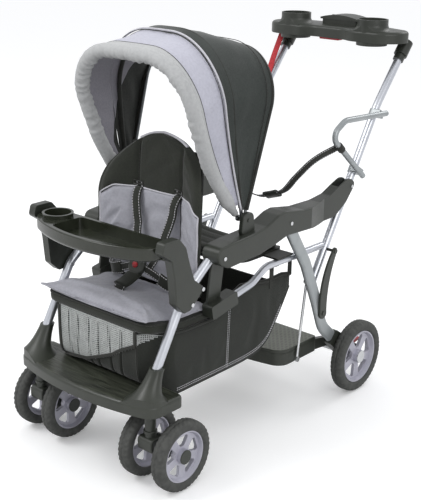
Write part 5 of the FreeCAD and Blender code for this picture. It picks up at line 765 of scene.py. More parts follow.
def hood_panel(name, first_angle, last_angle, start, steps, seed, material):
    rows = []
    for angle in np.linspace(first_angle, last_angle, steps):
        bow, share = bow_at(angle)
        loose = 4 * share * (1 - share)
        gather = smoothstep(angle, SEAM_ANGLE, HEM_ANGLE)
        row = []
        for j, (x, y, z) in enumerate(arch(bow, start, CLOTH_OUT)):
            out = Vector((0, y - PIVOT_Y, z - PIVOT_Z))
            far = out.length / bow["reach"]
            along = (j / (ARCH_STEPS - 1) - 0.5) * ARCH_LENGTH
            sag = HOLLOW * loose * (0.35 + 0.65 * far)
            long_fold = LONG_FOLD * wave(along * 0.55 + angle * 3.0, angle * 3.2, seed * 90, LONG_FOLD_SIZE)
            crease = wave(along * 1.15, angle * 1.1, seed * 50 + 7, CREASE_SIZE)
            crease *= CREASE + SEAM_CREASE * gather
            fold = (long_fold * loose + crease * max(loose, 0.55 * gather)) * smoothstep(far, 0.05, 0.3)
            side = Vector((x / bow["half"], 0, 0)) * smoothstep(abs(x), bow["half"] * 0.5, bow["half"])
            inward = side + out.normalized() * smoothstep(far, 0.5, 1.0)
            inward.normalize()
            row.append(place(*(Vector((x, y, z)) - inward * (sag - fold))))
        rows.append(row)
    made = rows_to_mesh(name, rows, [material, LINING])
    middle = [row[ARCH_STEPS // 2] for row in rows]
    return made, area_of(made), line_length(rows[-1]), line_length(middle)


def apply_modifiers(made):
    graph = bpy.context.evaluated_depsgraph_get()
    mesh = bpy.data.meshes.new_from_object(made.evaluated_get(graph), preserve_all_data_layers=True,
                                           depsgraph=graph)
    old = made.data
    made.modifiers.clear()
    made.data = mesh
    bpy.data.meshes.remove(old)
    return made


def thickened(made, thickness, offset=0, lining=0):
    """Gives a sheet its thickness: half to each side, or all inwards with the next material inside."""
    solid = made.modifiers.new("thickness", "SOLIDIFY")
    solid.thickness = thickness * MM
    solid.offset = offset
    solid.material_offset = lining
    return apply_modifiers(made)


def fan_blend(made):
    """Bakes the cloth's transform and works out a share for each point by its angle round the pin, nought at
    the rear bow and one at the front bow; the shares are not kept.
    """
    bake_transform(made)
    weights = np.zeros(len(made.data.vertices), np.float32)
    angles = [REAR_BOW["angle"], MIDDLE_BOW["angle"], FRONT_BOW["angle"] - FRONT_TURN_EARLY]
    for vertex in made.data.vertices:
        y, z = (vertex.co.y - AXLE_Y) / MM - PIVOT_Y, vertex.co.z / MM - PIVOT_Z
        weights[vertex.index] = np.interp(math.degrees(math.atan2(z, y)), angles,
                                          [0.0, MIDDLE_TURN_SHARE, 1.0])
    return made


def lining_map(made):
    """The lining's own UV map: half plus a sixtieth of the degrees ahead of the border."""
    sides = []
    for vertex in made.data.vertices:
        ahead = lining_side((vertex.co.y - AXLE_Y) / MM, vertex.co.z / MM)
        sides.append(0.5 + ahead / LINING_MAP_DEGREES)
    layer = made.data.uv_layers.new(name="lining")
    for loop in made.data.loops:
        layer.data[loop.index].uv = (sides[loop.vertex_index], 0.5)


PANELS = (("hood_rear_cloth", REAR_BOW["angle"], SEAM_ANGLE, 24, 41, 1, CHARCOAL_FABRIC, "charcoal_fabric",
           "hood_back_panel", ["hood_back_bow", "hood_middle_bow"]),
          ("hood_front_cloth", SEAM_ANGLE, HEM_ANGLE, 40, 25, 2, HOOD_FABRIC, "light_fabric",
           "hood_front_panel", ["hood_middle_bow", "hood_front_bow"]))
for name, first, last, start_mm, steps, seed, material, slot_name, stands_for, bows in PANELS:
    panel, area, wide, deep = hood_panel(name, first, last, start_mm, steps, seed, material)
    thickened(panel, PANEL_THICK, -1, 1)
    lining_map(panel)
    fan_blend(panel)
    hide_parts(stands_for)
    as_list(bows)
    print(name, "wide, deep, area in metres", [round(v, 3) for v in (wide, deep, area)])

# %% [markdown]
# The edge roll is a tube of foam in pale cloth. It is bent round a bow, so its inner side gathers: the
# radius shrinks and swells along it, in short creases that are deepest on the inside of the bend.

# %% Hood: edge roll
ROLL_RADIUS_MM = 17.5
ROLL_START = 16.0
ROLL_STEPS = 280
ROLL_SIDES = 28
ROLL_CENTRE_REACH = 260
ROLL_CREASE, ROLL_BEND_CREASE, ROLL_INNER_CREASE, ROLL_SWELL = 0.9, 4.2, 1.3, 2.0


def edge_roll():
    path = resample(arch(FRONT_BOW, ROLL_START, 0.0, 400), ROLL_STEPS)
    rows = []
    lean = math.radians(FRONT_BOW["angle"])
    centre = np.array([0, PIVOT_Y + ROLL_CENTRE_REACH * math.cos(lean),
                       PIVOT_Z + ROLL_CENTRE_REACH * math.sin(lean)])
    for k, here in enumerate(path):
        before, after = path[max(k - 1, 0)], path[min(k + 1, ROLL_STEPS - 1)]
        ahead = Vector(after - before).normalized()
        inward = Vector(centre - here)
        inward = (inward - ahead * inward.dot(ahead)).normalized()
        side = ahead.cross(inward)
        share = k / (ROLL_STEPS - 1)
        end = min(share, 1 - share)
        taper = 0.5 + 0.5 * smoothstep(end, 0.0, 0.05)
        bend = smoothstep(abs(share - 0.5), 0.36, 0.30)
        row = []
        for s in range(ROLL_SIDES):
            turn = math.tau * s / ROLL_SIDES
            inner = 0.5 + 0.5 * math.cos(turn)
            crease = wave(k * 5.2, math.sin(turn) * 9, 3.0, 11.0)
            slow = wave(k * 1.3, math.cos(turn) * 14, 8.0, 26.0)
            depth = (ROLL_CREASE + ROLL_BEND_CREASE * bend * inner + ROLL_INNER_CREASE * inner) * crease
            radius = (ROLL_RADIUS_MM + depth + ROLL_SWELL * slow) * taper
            row.append(place(*(Vector(here) + (inward * math.cos(turn) + side * math.sin(turn)) * radius)))
        rows.append(row)
    return loaf("hood_edge_roll", rows, ROLL_FABRIC)


roll = done(edge_roll(), "hood_front", "light_fabric", "hood_roll")

# %% [markdown]
# The real bows bulge forward, so the two moving ones are bent here along the same arch as their cloth:
# a round steel wire with an eye at each end on the hood's pin.

# %% Hood: bow wires
BOW_WIRE_RADIUS, BOW_EYE_RADIUS, BOW_EYE_HALF = 4.6, 8.0, 2.4
BOW_WIRE_START = 7.0


def bow_wire(name, bow, body, node_name):
    line = arch_line(bow, BOW_WIRE_START, 0.0, 200)
    trim(name, line, round_section(BOW_WIRE_RADIUS, 12), BOW_STEEL, body, "bow_steel", node_name)
    for side in (-1, 1):
        eye = [place(side * (bow["base"] + a), PIVOT_Y, PIVOT_Z) for a in (-BOW_EYE_HALF, BOW_EYE_HALF)]
        trim(name + "_eye_" + NAMES[side], eye, round_section(BOW_EYE_RADIUS, 24), BOW_STEEL, body,
             "bow_steel", hint=(0, 1, 0))


bow_wire("hood_front_wire", FRONT_BOW, "hood_front", "hood_front_bow")
bow_wire("hood_middle_wire", MIDDLE_BOW, "hood_middle", "hood_middle_bow")

# %% Hood: hem behind the roll, piping, bindings and sleeves
HEM_FROM, HEM_TO, HEM_START, HEM_ROWS = 112.0, 115.6, 34, 6
HEM_OUT, HEM_PUFF, HEM_THICK = 0.6, 2.0, 1.6


def hood_hem():
    rows = []
    for i in range(HEM_ROWS):
        share = i / (HEM_ROWS - 1)
        lift = CLOTH_OUT + HEM_OUT + HEM_PUFF * math.sin(math.pi * share)
        bow = bow_at(HEM_FROM + (HEM_TO - HEM_FROM) * share)[0]
        rows.append([place(*p) for p in arch(bow, HEM_START, lift)])
    return thickened(rows_to_mesh("hood_hem", rows, [ROLL_FABRIC, ROLL_FABRIC]), HEM_THICK, -1, 1)


def hood_trim(name, angle, start_mm, grow, radius, sides, material, slot_name):
    """Piping or a seam that follows the fan at one angle."""
    line = sweep(name, arch_line(bow_at(angle)[0], start_mm, grow), round_section(radius, sides),
                 [material], hint=(0, 1, 0))
    fan_blend(line)


hem = done(hood_hem(), "hood_front", "light_fabric")
# name, angle, place where it starts, height over the bows, radius, sides, material, slot
HOOD_TRIMS = (
    ("hood_hem_seam", HEM_FROM, 36, CLOTH_OUT + 0.2, 1.1, 6, BOUND_EDGE, "light_fabric"),
    ("hood_piping", SEAM_ANGLE, 26, CLOTH_OUT + 1.2, 2.6, 8, PIPING, "light_fabric"),
    ("hood_piping_seam", SEAM_ANGLE + 1.0, 34, CLOTH_OUT - 0.2, 0.9, 6, BOUND_EDGE, "charcoal_fabric"),
    ("hood_rear_seam", REAR_BOW["angle"] + 3.5, 30, CLOTH_OUT + 0.2, 1.0, 6, BOUND_EDGE, "charcoal_fabric"))
for row in HOOD_TRIMS:
    hood_trim(*row)
trim("hood_rear_binding", arch_line(REAR_BOW, 24, CLOTH_OUT - 1.0), strap_section(9, 4.0), BOUND_EDGE,
     "frame", "charcoal_fabric", hint=(0, 1, 0))
SLEEVE_RADIUS = 6.2
for label, bow, body, first in (("rear", REAR_BOW, "frame", 24), ("middle", MIDDLE_BOW, "hood_middle", 30)):
    trim("hood_sleeve_" + label, arch_line(bow, first, 0), round_section(SLEEVE_RADIUS, 10), BOUND_EDGE,
         body, "charcoal_fabric")

# %% [markdown]
# ## Stuffed pieces
# A seat pad is foam in a sewn cover: crowned on top, pulled in along its sides, thin at the seam. The
# shape starts as a grid of 4 to 6 mm faces and is blown up a little by a short cloth simulation with
# gravity off, which gives the tight corners and soft dents that a formula misses. A cap keeps each point
# in its own space, and the grid keeps its UV map, so the weave still follows the cloth.

# %% Padding by simulation
SIM_FRAMES = 20
SIM_QUALITY = 4


def inflate(made, pressure, cap_mm):
    """Swells a closed grid as pressurised cloth, keeps each point near its start, then smooths it once."""
    start = np.array([v.co for v in made.data.vertices], float)
    cloth = made.modifiers.new("cloth", "CLOTH")
    cloth.settings.use_pressure = True
    cloth.settings.uniform_pressure_force = pressure
    cloth.settings.effector_weights.gravity = 0
    cloth.settings.quality = SIM_QUALITY
    cloth.point_cache.frame_start = 1
    cloth.point_cache.frame_end = SIM_FRAMES
    scene = bpy.context.scene
    for step in range(1, SIM_FRAMES + 1):
        scene.frame_set(step)
    apply_modifiers(made)
    after = np.array([v.co for v in made.data.vertices], float)
    move = after - start
    size = np.linalg.norm(move, axis=1)
    share = np.minimum(1.0, cap_mm * MM / np.maximum(size, 1e-9))
    made.data.vertices.foreach_set("co", (start + move * share[:, None]).ravel())
    scene.frame_set(1)
    smooth = made.modifiers.new("smooth", "SUBSURF")
    smooth.levels = smooth.render_levels = 1
    apply_modifiers(made)
    made.data.polygons.foreach_set("use_smooth", [True] * len(made.data.polygons))
    return made


def on_cover(cover, line, lift_mm):
    """Moves each place of a line to the nearest place on a finished cover, then out by the lift."""
    moved = []
    for spot in line:
        found, nearest, normal = cover.closest_point_on_mesh(Vector(spot))[:3]
        moved.append(nearest + normal * lift_mm * MM if found else Vector(spot))
    return moved


# %% [markdown]
# ## The front seat's pad
# Pale grey cloth over foam, with a waterfall front edge and soft dents where the sewn lines pull it
# down. Under its rim runs the black band that wraps the seat board's edge.

# %% Seat pad
SEAT_HALF = 180.0
SEAT_FRONT, SEAT_REAR = -44.0, 186.0
SEAT_LOW, SEAT_SEAM, SEAT_TOP = 387.0, 395.0, 419.0
SEAT_LIFT, SEAT_LEVEL_FROM = 22.0, 96
SEAT_HORN, SEAT_CROWN, SEAT_WAIST_SHARE, SEAT_BOW = 10.0, 8.0, 0.03, 4.0
# depth of a dent, its half width, its place rearward and its half length
SEAT_DENTS = ((8.0, 62, 96, 42), (5.0, 26, 34, 20))
SEAT_FOLD, SEAT_CREASE, SEAT_RAY = 3.4, 1.5, 2.2
PAD_ROWS, PAD_AROUND = 57, 128
PAD_PRESSURE, PAD_CAP_MM = 3.0, 5.0


def seat_lift(y):
    """The seat rises towards its front edge, so that a child sits back in it."""
    return SEAT_LIFT * (1 - smoothstep(y, SEAT_FRONT, SEAT_LEVEL_FROM))


def seat_loaf(u, v):
    """The pad on a grid: u runs once over the top and back under it, v from front to rear."""
    along = 2 * v - 1
    turn = math.tau * u
    across = math.cos(turn)
    waist = 1 - SEAT_WAIST_SHARE * (1 - along ** 4)
    horn = SEAT_HORN * smoothstep(abs(across), 0.80, 1.0) * smoothstep(-along, 0.62, 1.0)
    x = (SEAT_HALF * waist + horn * 0.6) * across
    bowed = SEAT_BOW * (1 - across ** 2) * max(0.0, -along)
    y = SEAT_FRONT + (SEAT_REAR - SEAT_FRONT) * v - horn * 0.8 - bowed
    full = (1 - abs(across) ** 5) ** 0.5 * (1 - along ** 6) ** 0.5
    z = SEAT_SEAM + horn + seat_lift(y)
    if turn < math.pi:
        return x, y, z + (SEAT_TOP - SEAT_SEAM + SEAT_CROWN * (1 - across ** 2)) * full
    return x, y, z - (SEAT_SEAM - SEAT_LOW) * full


def seat_pad():
    rows = []
    for i in range(PAD_ROWS):
        v = 0.5 - 0.5 * math.cos(math.pi * (0.01 + 0.98 * i / (PAD_ROWS - 1)))
        rows.append([place(*seat_loaf((j + 0.5) / PAD_AROUND, v)) for j in range(PAD_AROUND)])
    made = inflate(loaf("seat_pad_cloth", rows, SEAT_FABRIC), PAD_PRESSURE, PAD_CAP_MM)
    for vertex in made.data.vertices:
        x, y, z = vertex.co.x / MM, (vertex.co.y - AXLE_Y) / MM, vertex.co.z / MM
        upper = smoothstep(z - seat_lift(y), SEAT_SEAM + 4, SEAT_TOP)
        dents = sum(deep * math.exp(-((x / half) ** 2 + ((y - at) / long) ** 2))
                    for deep, half, at, long in SEAT_DENTS)
        from_corner = math.atan2(y + 60, 200 - abs(x))
        near_corner = smoothstep(math.hypot(y + 50, 190 - abs(x)), 120, 30)
        rays = SEAT_RAY * math.sin(from_corner * 17) * near_corner
        folds = SEAT_FOLD * wave(x * 0.8 + y * 0.5, y * 1.7, 5.0, 46)
        folds += SEAT_CREASE * wave(x * 2.4, y * 0.7, 9.0, 30)
        vertex.co.z += MM * upper * (folds + rays - dents)
    made.data.update()
    return made


pad = done(seat_pad(), "frame", "seat_fabric", "seat_pad")
pad_seam = [place(*seat_loaf(0.0, v)) for v in np.linspace(0.99, 0.01, 60)]
pad_seam += [place(*seat_loaf(u, 0.008)) for u in np.linspace(0.02, 0.48, 90)]
pad_seam += [place(*seat_loaf(0.5, v)) for v in np.linspace(0.01, 0.99, 60)]
pad_seam = resample(on_cover(pad, resample(pad_seam, 240), 0.6), 200)
trim("seat_pad_piping", pad_seam, round_section(1.9, 8), SEAT_FABRIC, "frame", "seat_fabric", hint=(0, 0, 1))

BOARD_HALF, BOARD_FRONT, BOARD_REAR, BOARD_CORNER = 176.0, -36.0, 196.0, 30.0
# height of a line round the band, and how far it stands out from the board
BAND_LINES = ((363.5, -5.0), (364.0, -1.0), (367, 1.6), (373, 2.6), (380, 2.6), (385, 1.8), (387.0, -1.0),
              (387.4, -6.0))


def rim_line(inset, z, steps=200):
    """A line round the seat board's edge, seen from above."""
    corners = []
    half, front, rear, corner = BOARD_HALF - inset, BOARD_FRONT + inset, BOARD_REAR - inset, BOARD_CORNER
    for cx, cy, begin in ((half - corner, rear - corner, 0), (corner - half, rear - corner, 90),
                          (corner - half, front + corner, 180), (half - corner, front + corner, 270)):
        for k in range(9):
            turn = math.radians(begin + k * 90 / 8)
            corners.append((cx + corner * math.cos(turn), cy + corner * math.sin(turn), z))
    corners.append(corners[0])
    return resample(corners, steps + 1)[:-1]


def seat_band():
    """The board in its black cover, which bulges a little between its two seams."""
    rows = [[place(x, y, level + seat_lift(y)) for x, y, level in rim_line(-out, z)] for z, out in BAND_LINES]
    return loaf("seat_band", rows, HEAD_FABRIC)


done(seat_band(), "frame", "seat_fabric", "seat_board")
welt = [place(x, y, z + seat_lift(y)) for x, y, z in rim_line(-2.4, 386.6)]
trim("seat_welt", welt, round_section(1.8, 8), BOUND_EDGE, "frame", "seat_fabric", loop=True)

# %% [markdown]
# ## The seat back
# The back is one padded cover on a stiff board: a flat middle panel with a wing at each side that curves
# forward round the child. Below the shoulder seam it is pale grey, and above it black. Seams between
# the panels pull the padding in, and pale piping follows the shoulder seam and the top of the head.

# %% Seat back
BACK_HINGE_Y, BACK_HINGE_Z = 212.0, 392.0
BACK_LEAN = math.radians(2.5)
BACK_LOW, BACK_HIGH = 20.0, 412.0
SHOULDER_UP, SHOULDER_DROP = 261.0, 30.0
WING_EDGE_SHARE = 0.93
MIDDLE_HALF = 74.0
BACK_HALF = 184.0
WING_REACH = 66.0
PAD_DEPTH = 26.0
FACE_AT, REAR_AT = 13.0, 12.6
BACK_TAPER = 26.0
CROWN_MM, GROOVE_MM, WING_FOLD, BACK_FOLD = 6.5, 4.5, 3.2, 1.6


def back_place(x, up, forward):
    y = BACK_HINGE_Y + up * math.sin(BACK_LEAN) - forward * math.cos(BACK_LEAN)
    z = BACK_HINGE_Z + up * math.cos(BACK_LEAN) + forward * math.sin(BACK_LEAN)
    return x, y, z


def back_half(up):
    """Half the back's width at a height: straight below the shoulders, a dome above."""
    if up < SHOULDER_UP - 30:
        return BACK_HALF - BACK_TAPER * smoothstep(up, 130, 0)
    rise = (up - (SHOULDER_UP - 30)) / (BACK_HIGH - (SHOULDER_UP - 30))
    return max(BACK_HALF * (1 - min(rise, 1.0) ** 2.1) ** 0.56, 2.0)


def wing_forward(x, up):
    """How far the back's face curves forward at a place across it."""
    reach = WING_REACH * (0.35 + 0.65 * smoothstep(up, 0, 120)) * (1 - 0.55 * smoothstep(up, 300, 410))
    beyond = max(0.0, abs(x) - MIDDLE_HALF * 0.8) / (BACK_HALF - MIDDLE_HALF * 0.8)
    return reach * beyond ** 1.5


def shoulder_up(share):
    """Height of the shoulder seam: level across the middle, falling over the wings."""
    return SHOULDER_UP - SHOULDER_DROP * smoothstep(abs(share), 0.68, 1.0)


def back_face(x, up):
    """The padded face: crowned panels between the seams, and folds pulled across the wings."""
    forward = FACE_AT + wing_forward(x, up)
    half = back_half(up)
    if abs(x) < MIDDLE_HALF:
        crown = 1 - (abs(x) / MIDDLE_HALF) ** 2.6
    else:
        panel = (abs(x) - MIDDLE_HALF) / max(half - MIDDLE_HALF, 1)
        crown = max(0.0, 4 * panel * (1 - panel))
    seam = shoulder_up(x / max(half, 1))
    groove = math.exp(-((abs(x) - MIDDLE_HALF) / 5.0) ** 2) + math.exp(-((up - seam) / 4.5) ** 2)
    rim = 1 - smoothstep(abs(x) / max(half, 1), 0.80, 1.0) ** 2
    folds = WING_FOLD * wave(x * 0.5 + up * 0.9, up * 0.5, 21.0, 34) * smoothstep(abs(x), 30, 110)
    folds += BACK_FOLD * wave(x * 1.1 - up * 0.6, up * 0.8, 4.0, 40)
    return forward + (PAD_DEPTH * 0.62 + CROWN_MM * crown - GROOVE_MM * groove + folds) * rim


BACK_PRESSURE = 2.5
BACK_FRONT_STEPS, BACK_REAR_STEPS = 91, 30
BACK_ROWS, SHOULDER_ROW = 92, 56


def back_up(row, share):
    """A row's height. One row lies on the shoulder seam, so the colours meet in a clean line."""
    seam = shoulder_up(share)
    if row <= SHOULDER_ROW:
        return BACK_LOW + (seam - BACK_LOW) * row / SHOULDER_ROW
    t = (row - SHOULDER_ROW) / (BACK_ROWS - 1 - SHOULDER_ROW)
    return seam + (BACK_HIGH - seam) * (1 - (1 - t) ** 1.12)


def seat_back():
    rows = []
    fronts = np.linspace(-1, 1, BACK_FRONT_STEPS)
    rears = np.linspace(1, -1, BACK_REAR_STEPS + 2)[1:-1]
    for i in range(BACK_ROWS):
        row = []
        for share in fronts:
            up = back_up(i, share)
            x = back_half(up) * share
            row.append(place(*back_place(x, up, back_face(x, up))))
        for share in rears:
            up = back_up(i, share)
            x = back_half(up) * share
            row.append(place(*back_place(x, up, REAR_AT + wing_forward(x, up))))
        rows.append(row)

    def paint(i, j):
        middle = -1 + 2 * (j + 0.5) / (BACK_FRONT_STEPS - 1)
        black = i >= SHOULDER_ROW or j >= BACK_FRONT_STEPS - 1 or abs(middle) > WING_EDGE_SHARE
        return 1 if black else 0

    made = loaf("seat_back_cloth", rows, SEAT_FABRIC, HEAD_FABRIC, paint=paint)
    return inflate(made, BACK_PRESSURE, PAD_CAP_MM)


back = done(seat_back(), "backrest", "seat_fabric", "backrest_pad")


def on_back(x, up, lift):
    """A place on the finished cover, found by a ray from the front, raised a little."""
    ahead = place(*back_place(x, up, 260.0))
    aim = (place(*back_place(x, up, 0.0)) - ahead).normalized()
    hit, where = back.ray_cast(ahead, aim)[:2]
    if not hit:
        where = place(*back_place(x, up, back_face(x, up)))
    return where - aim * lift * MM


WING_SHARE = WING_EDGE_SHARE - 0.01
PIPING_LIFT = 1.2
HEAD_PIPING_HALF = 82.0
shoulder = [on_back(back_half(shoulder_up(s)) * s, shoulder_up(s), PIPING_LIFT)
            for s in np.linspace(-WING_SHARE, WING_SHARE, 90)]
trim("back_shoulder_piping", shoulder, round_section(1.9, 8), PIPING, "backrest", "seat_fabric",
     hint=(0, 1, 0))
head_line = []
for t in np.linspace(-1, 1, 60):
    x = t * HEAD_PIPING_HALF
    up = BACK_HIGH - 0.5
    while back_half(up) < abs(x) + 2 and up > 300:
        up -= 1.0
    head_line.append(place(*back_place(x, up + 1.5, FACE_AT + wing_forward(x, up) + 9.0)))
head_line = resample(on_cover(back, head_line, PIPING_LIFT), 60)
trim("back_head_piping", head_line, round_section(3.6, 10), PIPING, "backrest", "seat_fabric")
for side in (-1, 1):
    line = [on_back(side * MIDDLE_HALF, up, 0.4) for up in np.linspace(60, 372, 90)]
    trim("back_seam_" + NAMES[side], line, round_section(1.0, 6), BOUND_EDGE, "backrest", "seat_fabric")
    edge = [on_back(side * back_half(up) * WING_SHARE, up, PIPING_LIFT)
            for up in np.linspace(BACK_LOW + 22, shoulder_up(WING_SHARE), 70)]
    trim("back_wing_piping_" + NAMES[side], edge, round_section(2.1, 8), PIPING, "backrest", "seat_fabric",
         hint=(0, 1, 0))

# %% [markdown]
# ## The harness
# Flat webbing is modelled as itself: a softened oblong swept along its route, with a row of white
# stitches near each edge. The stitches are placed by Geometry Nodes, one short bar per stitch along the
# same line, so their number follows the length.

# %% Stitches along a line
STITCH_LONG, STITCH_GAP, STITCH_THICK = 4.2, 2.6, 1.3
STITCH_INSET, STITCH_LIFT = 2.6, 0.15


def stitch_tree():
    """A bar of thread at even steps along each line, turned to follow it."""
    tree = bpy.data.node_groups.new("stitches_along_line", "GeometryNodeTree")
    for label, kind in (("Geometry", "Geometry"), ("Pitch", "Float"), ("Length", "Float"),
                        ("Thickness", "Float"), ("Thread", "Material")):
        tree.interface.new_socket(label, in_out="INPUT", socket_type="NodeSocket" + kind)
    tree.interface.new_socket("Geometry", in_out="OUTPUT", socket_type="NodeSocketGeometry")
    enter = node(tree, "NodeGroupInput").outputs
    curve = node(tree, "GeometryNodeMeshToCurve", i0=enter["Geometry"]).outputs[0]
    spaced = node(tree, "GeometryNodeResampleCurve", {"mode": "LENGTH"}, Curve=curve, Length=enter["Pitch"])
    tangent = node(tree, "GeometryNodeInputTangent").outputs[0]
    turn = node(tree, "FunctionNodeAlignEulerToVector", {"axis": "X"}, Vector=tangent).outputs[0]
    thick = enter["Thickness"]
    size = node(tree, "ShaderNodeCombineXYZ", i0=enter["Length"], i1=thick, i2=thick).outputs[0]
    bar = node(tree, "GeometryNodeMeshCube", Size=size).outputs[0]
    bars = node(tree, "GeometryNodeInstanceOnPoints", Points=spaced.outputs[0], Instance=bar, Rotation=turn)
    real = node(tree, "GeometryNodeRealizeInstances", i0=bars.outputs[0]).outputs[0]
    paint = node(tree, "GeometryNodeSetMaterial", Geometry=real, Material=enter["Thread"])
    node(tree, "NodeGroupOutput", i0=paint.outputs[0])
    return tree


STITCHES = stitch_tree()


def stitches(name, lines, thread, long=STITCH_LONG, gap=STITCH_GAP, thick=STITCH_THICK):
    """A row of stitches along each line."""
    vertices, edges = [], []
    for line in lines:
        first = len(vertices)
        vertices += [tuple(p) for p in line]
        edges += [(first + k, first + k + 1) for k in range(len(line) - 1)]
    mesh = bpy.data.meshes.new(name)
    mesh.from_pydata(vertices, edges, [])
    made = bpy.data.objects.new(name, mesh)
    bpy.context.scene.collection.objects.link(made)
    modifier = made.modifiers.new("stitches", "NODES")
    modifier.node_group = STITCHES
    values = {"Pitch": (long + gap) * MM, "Length": long * MM, "Thickness": thick * MM, "Thread": thread}
    for item in STITCHES.interface.items_tree:
        if item.in_out == "INPUT" and item.name in values:
            modifier[item.identifier] = values[item.name]
    return apply_modifiers(made)


# %% Shoulder straps
STRAP_WIDE = 21.0


def webbing(name, path, width, thickness, material, body, slot, side=(1, 0, 0), sewn=True, nodes=()):
    """A strap with its rows of stitches riding on the same body."""
    made = sweep(name, path, strap_section(width, thickness), [material], hint=side)
    done(made, body, slot, *nodes)
    if sewn:
        path = np.array(path, float)
        run = np.gradient(path, axis=0)
        run /= np.linalg.norm(run, axis=1)[:, None]
        across = np.array(side, float)
        lines = [[], [], [], []]
        for where, ahead in zip(path, run):
            across = across - ahead * (across @ ahead)
            across /= np.linalg.norm(across)
            up = np.cross(ahead, across) * (thickness / 2 + STITCH_LIFT) * MM
            edge = across * (width / 2 - STITCH_INSET) * MM
            spots = (where - edge + up, where + edge + up, where - edge - up, where + edge - up)
            for line, spot in zip(lines, spots):
                line.append(spot)
        done(stitches(name + "_stitches", lines, WHITE_THREAD), body, slot)
    return made


SLOT_X, SLOT_UP = 69.0, 273.0
SLOT_HALF, SLOT_TALL = 15, 4
STRAP_DROP, STRAP_INWARD, STRAP_SWING, STRAP_OUT = 203.0, 20.0, 32.0, 40.0
PAD_OVER_STRAP = 0.004
ACROSS = Vector((1, 0, 0))
for side in (-1, 1):
    route = []
    for t in np.linspace(0, 1, 44):
        up = SLOT_UP - STRAP_DROP * t
        x = side * (SLOT_X - STRAP_INWARD * t - STRAP_SWING * t ** 2.2)
        route.append(on_back(x, up, 1.5 + 8.0 * smoothstep(t, 0.0, 0.2) + STRAP_OUT * t ** 2.2))
    webbing("shoulder_strap_" + NAMES[side], route, STRAP_WIDE, 2.4, BLACK_WEBBING, "backrest",
            "black_webbing", nodes=("shoulder_straps",))
    padded_run = [p + (q - p).normalized().cross(ACROSS) * PAD_OVER_STRAP
                  for p, q in zip(route[3:30], route[4:31])]
    cover = webbing("shoulder_pad_" + NAMES[side], padded_run, STRAP_WIDE + 5, 4, HEAD_FABRIC, "backrest",
                    "black_webbing")
    rim = [on_back(side * SLOT_X + a * SLOT_HALF, SLOT_UP + b * SLOT_TALL, 0.8)
           for a, b in ((-1, -1), (1, -1), (1, 1), (-1, 1))]
    trim("harness_slot_" + NAMES[side], rim, round_section(1.6, 6), BOUND_EDGE, "backrest", "black_webbing",
         loop=True)

# %% Lap belts, crotch strap and buckle
def pad_top(x, y):
    """The seat pad's top under a place, found by a ray from above."""
    hit, where = pad.ray_cast(place(x, y, 600), Vector((0, 0, -1)))[:2]
    return where.z / MM if hit else SEAT_TOP


BUCKLE_Y = 118.0
BUCKLE_HALF, BUCKLE_TALL, BUCKLE_POINT = 25, 23, 1.15
BUCKLE_UP, BUCKLE_BACK = 0.94, 0.34
buckle_z = pad_top(0, 80) + 52
BUCKLE_LAYERS = ((0, 0.80), (1.5, 0.95), (5, 1.0), (11, 1.0), (14.5, 0.95), (16, 0.80), (16.6, 0.4))


def buckle_shell():
    """A shield shaped buckle that leans back a little, with a release button in its middle."""
    outline = []
    for k in range(40):
        side, up = math.cos(math.tau * k / 40), math.sin(math.tau * k / 40)
        tall = BUCKLE_TALL * (BUCKLE_POINT if up < 0 else 1.0)
        outline.append((BUCKLE_HALF * rounded(side, 0.8), tall * rounded(up, 0.8)))
    rows = []
    for depth, grow in BUCKLE_LAYERS:
        rows.append([place(a * grow, BUCKLE_Y - depth * BUCKLE_UP + b * grow * BUCKLE_BACK,
                           buckle_z + b * grow * BUCKLE_UP + depth * BUCKLE_BACK) for a, b in outline])
    return loaf("harness_buckle", rows, CHARCOAL_PLASTIC)


done(buckle_shell(), "frame", "charcoal_plastic", "lap_harness")
button_path = [place(0, BUCKLE_Y - 15.4, buckle_z + 5.0), place(0, BUCKLE_Y - 18.4, buckle_z + 6.1)]
trim("harness_button", button_path, round_section(8.0, 24), RED_PLASTIC, "frame", "red_plastic")
crotch = smooth_line([place(-2, 48, pad_top(-2, 48) - 6), place(-2, 50, pad_top(-2, 50) + 6),
                      place(-1, 74, pad_top(-1, 74) + 16), place(0, BUCKLE_Y - 8, buckle_z - 18)], 30)
webbing("crotch_strap", crotch, 34.0, 3.0, BLACK_WEBBING, "frame", "black_webbing")
raised = [Vector(p) - Vector((0, 0.002, -0.004)) for p in crotch[6:26]]
crotch_pad = trim("crotch_pad", raised, strap_section(44, 11), HEAD_FABRIC, "frame", "black_webbing")
for side in (-1, 1):
    lap = smooth_line([place(side * 20, BUCKLE_Y - 6, buckle_z - 2),
                       place(side * 52, BUCKLE_Y + 2, buckle_z - 16),
                       place(side * 94, BUCKLE_Y + 4, pad_top(side * 94, BUCKLE_Y) + 22),
                       place(side * 132, BUCKLE_Y + 30, pad_top(side * 132, BUCKLE_Y + 30) + 20),
                       place(side * 150, BUCKLE_Y + 62, 450)], 40)
    webbing("lap_belt_" + NAMES[side], lap, STRAP_WIDE, 2.4, BLACK_WEBBING, "frame", "black_webbing",
            side=(0, 0, 1))
    cover = webbing("hip_pad_" + NAMES[side], lap[12:34], 34, 7, HEAD_FABRIC, "frame", "black_webbing",
                    side=(0, 0, 1))

# %% [markdown]
# ## The basket
# The bag under the seats is sewn from two sides and one long strip that runs down the front, along the
# floor and up at the rear. It hangs from the seat rails, so its sides belly out a little, and a doubled
# white seam shows where the panels meet. The front of the strip is knitted net, gathered into upright
# pleats, and a black bound edge rises from its left foot to its right shoulder.

# %% Basket shape
BAG_HALF = 179.0
BAG_FRONT_HALF = 137.0
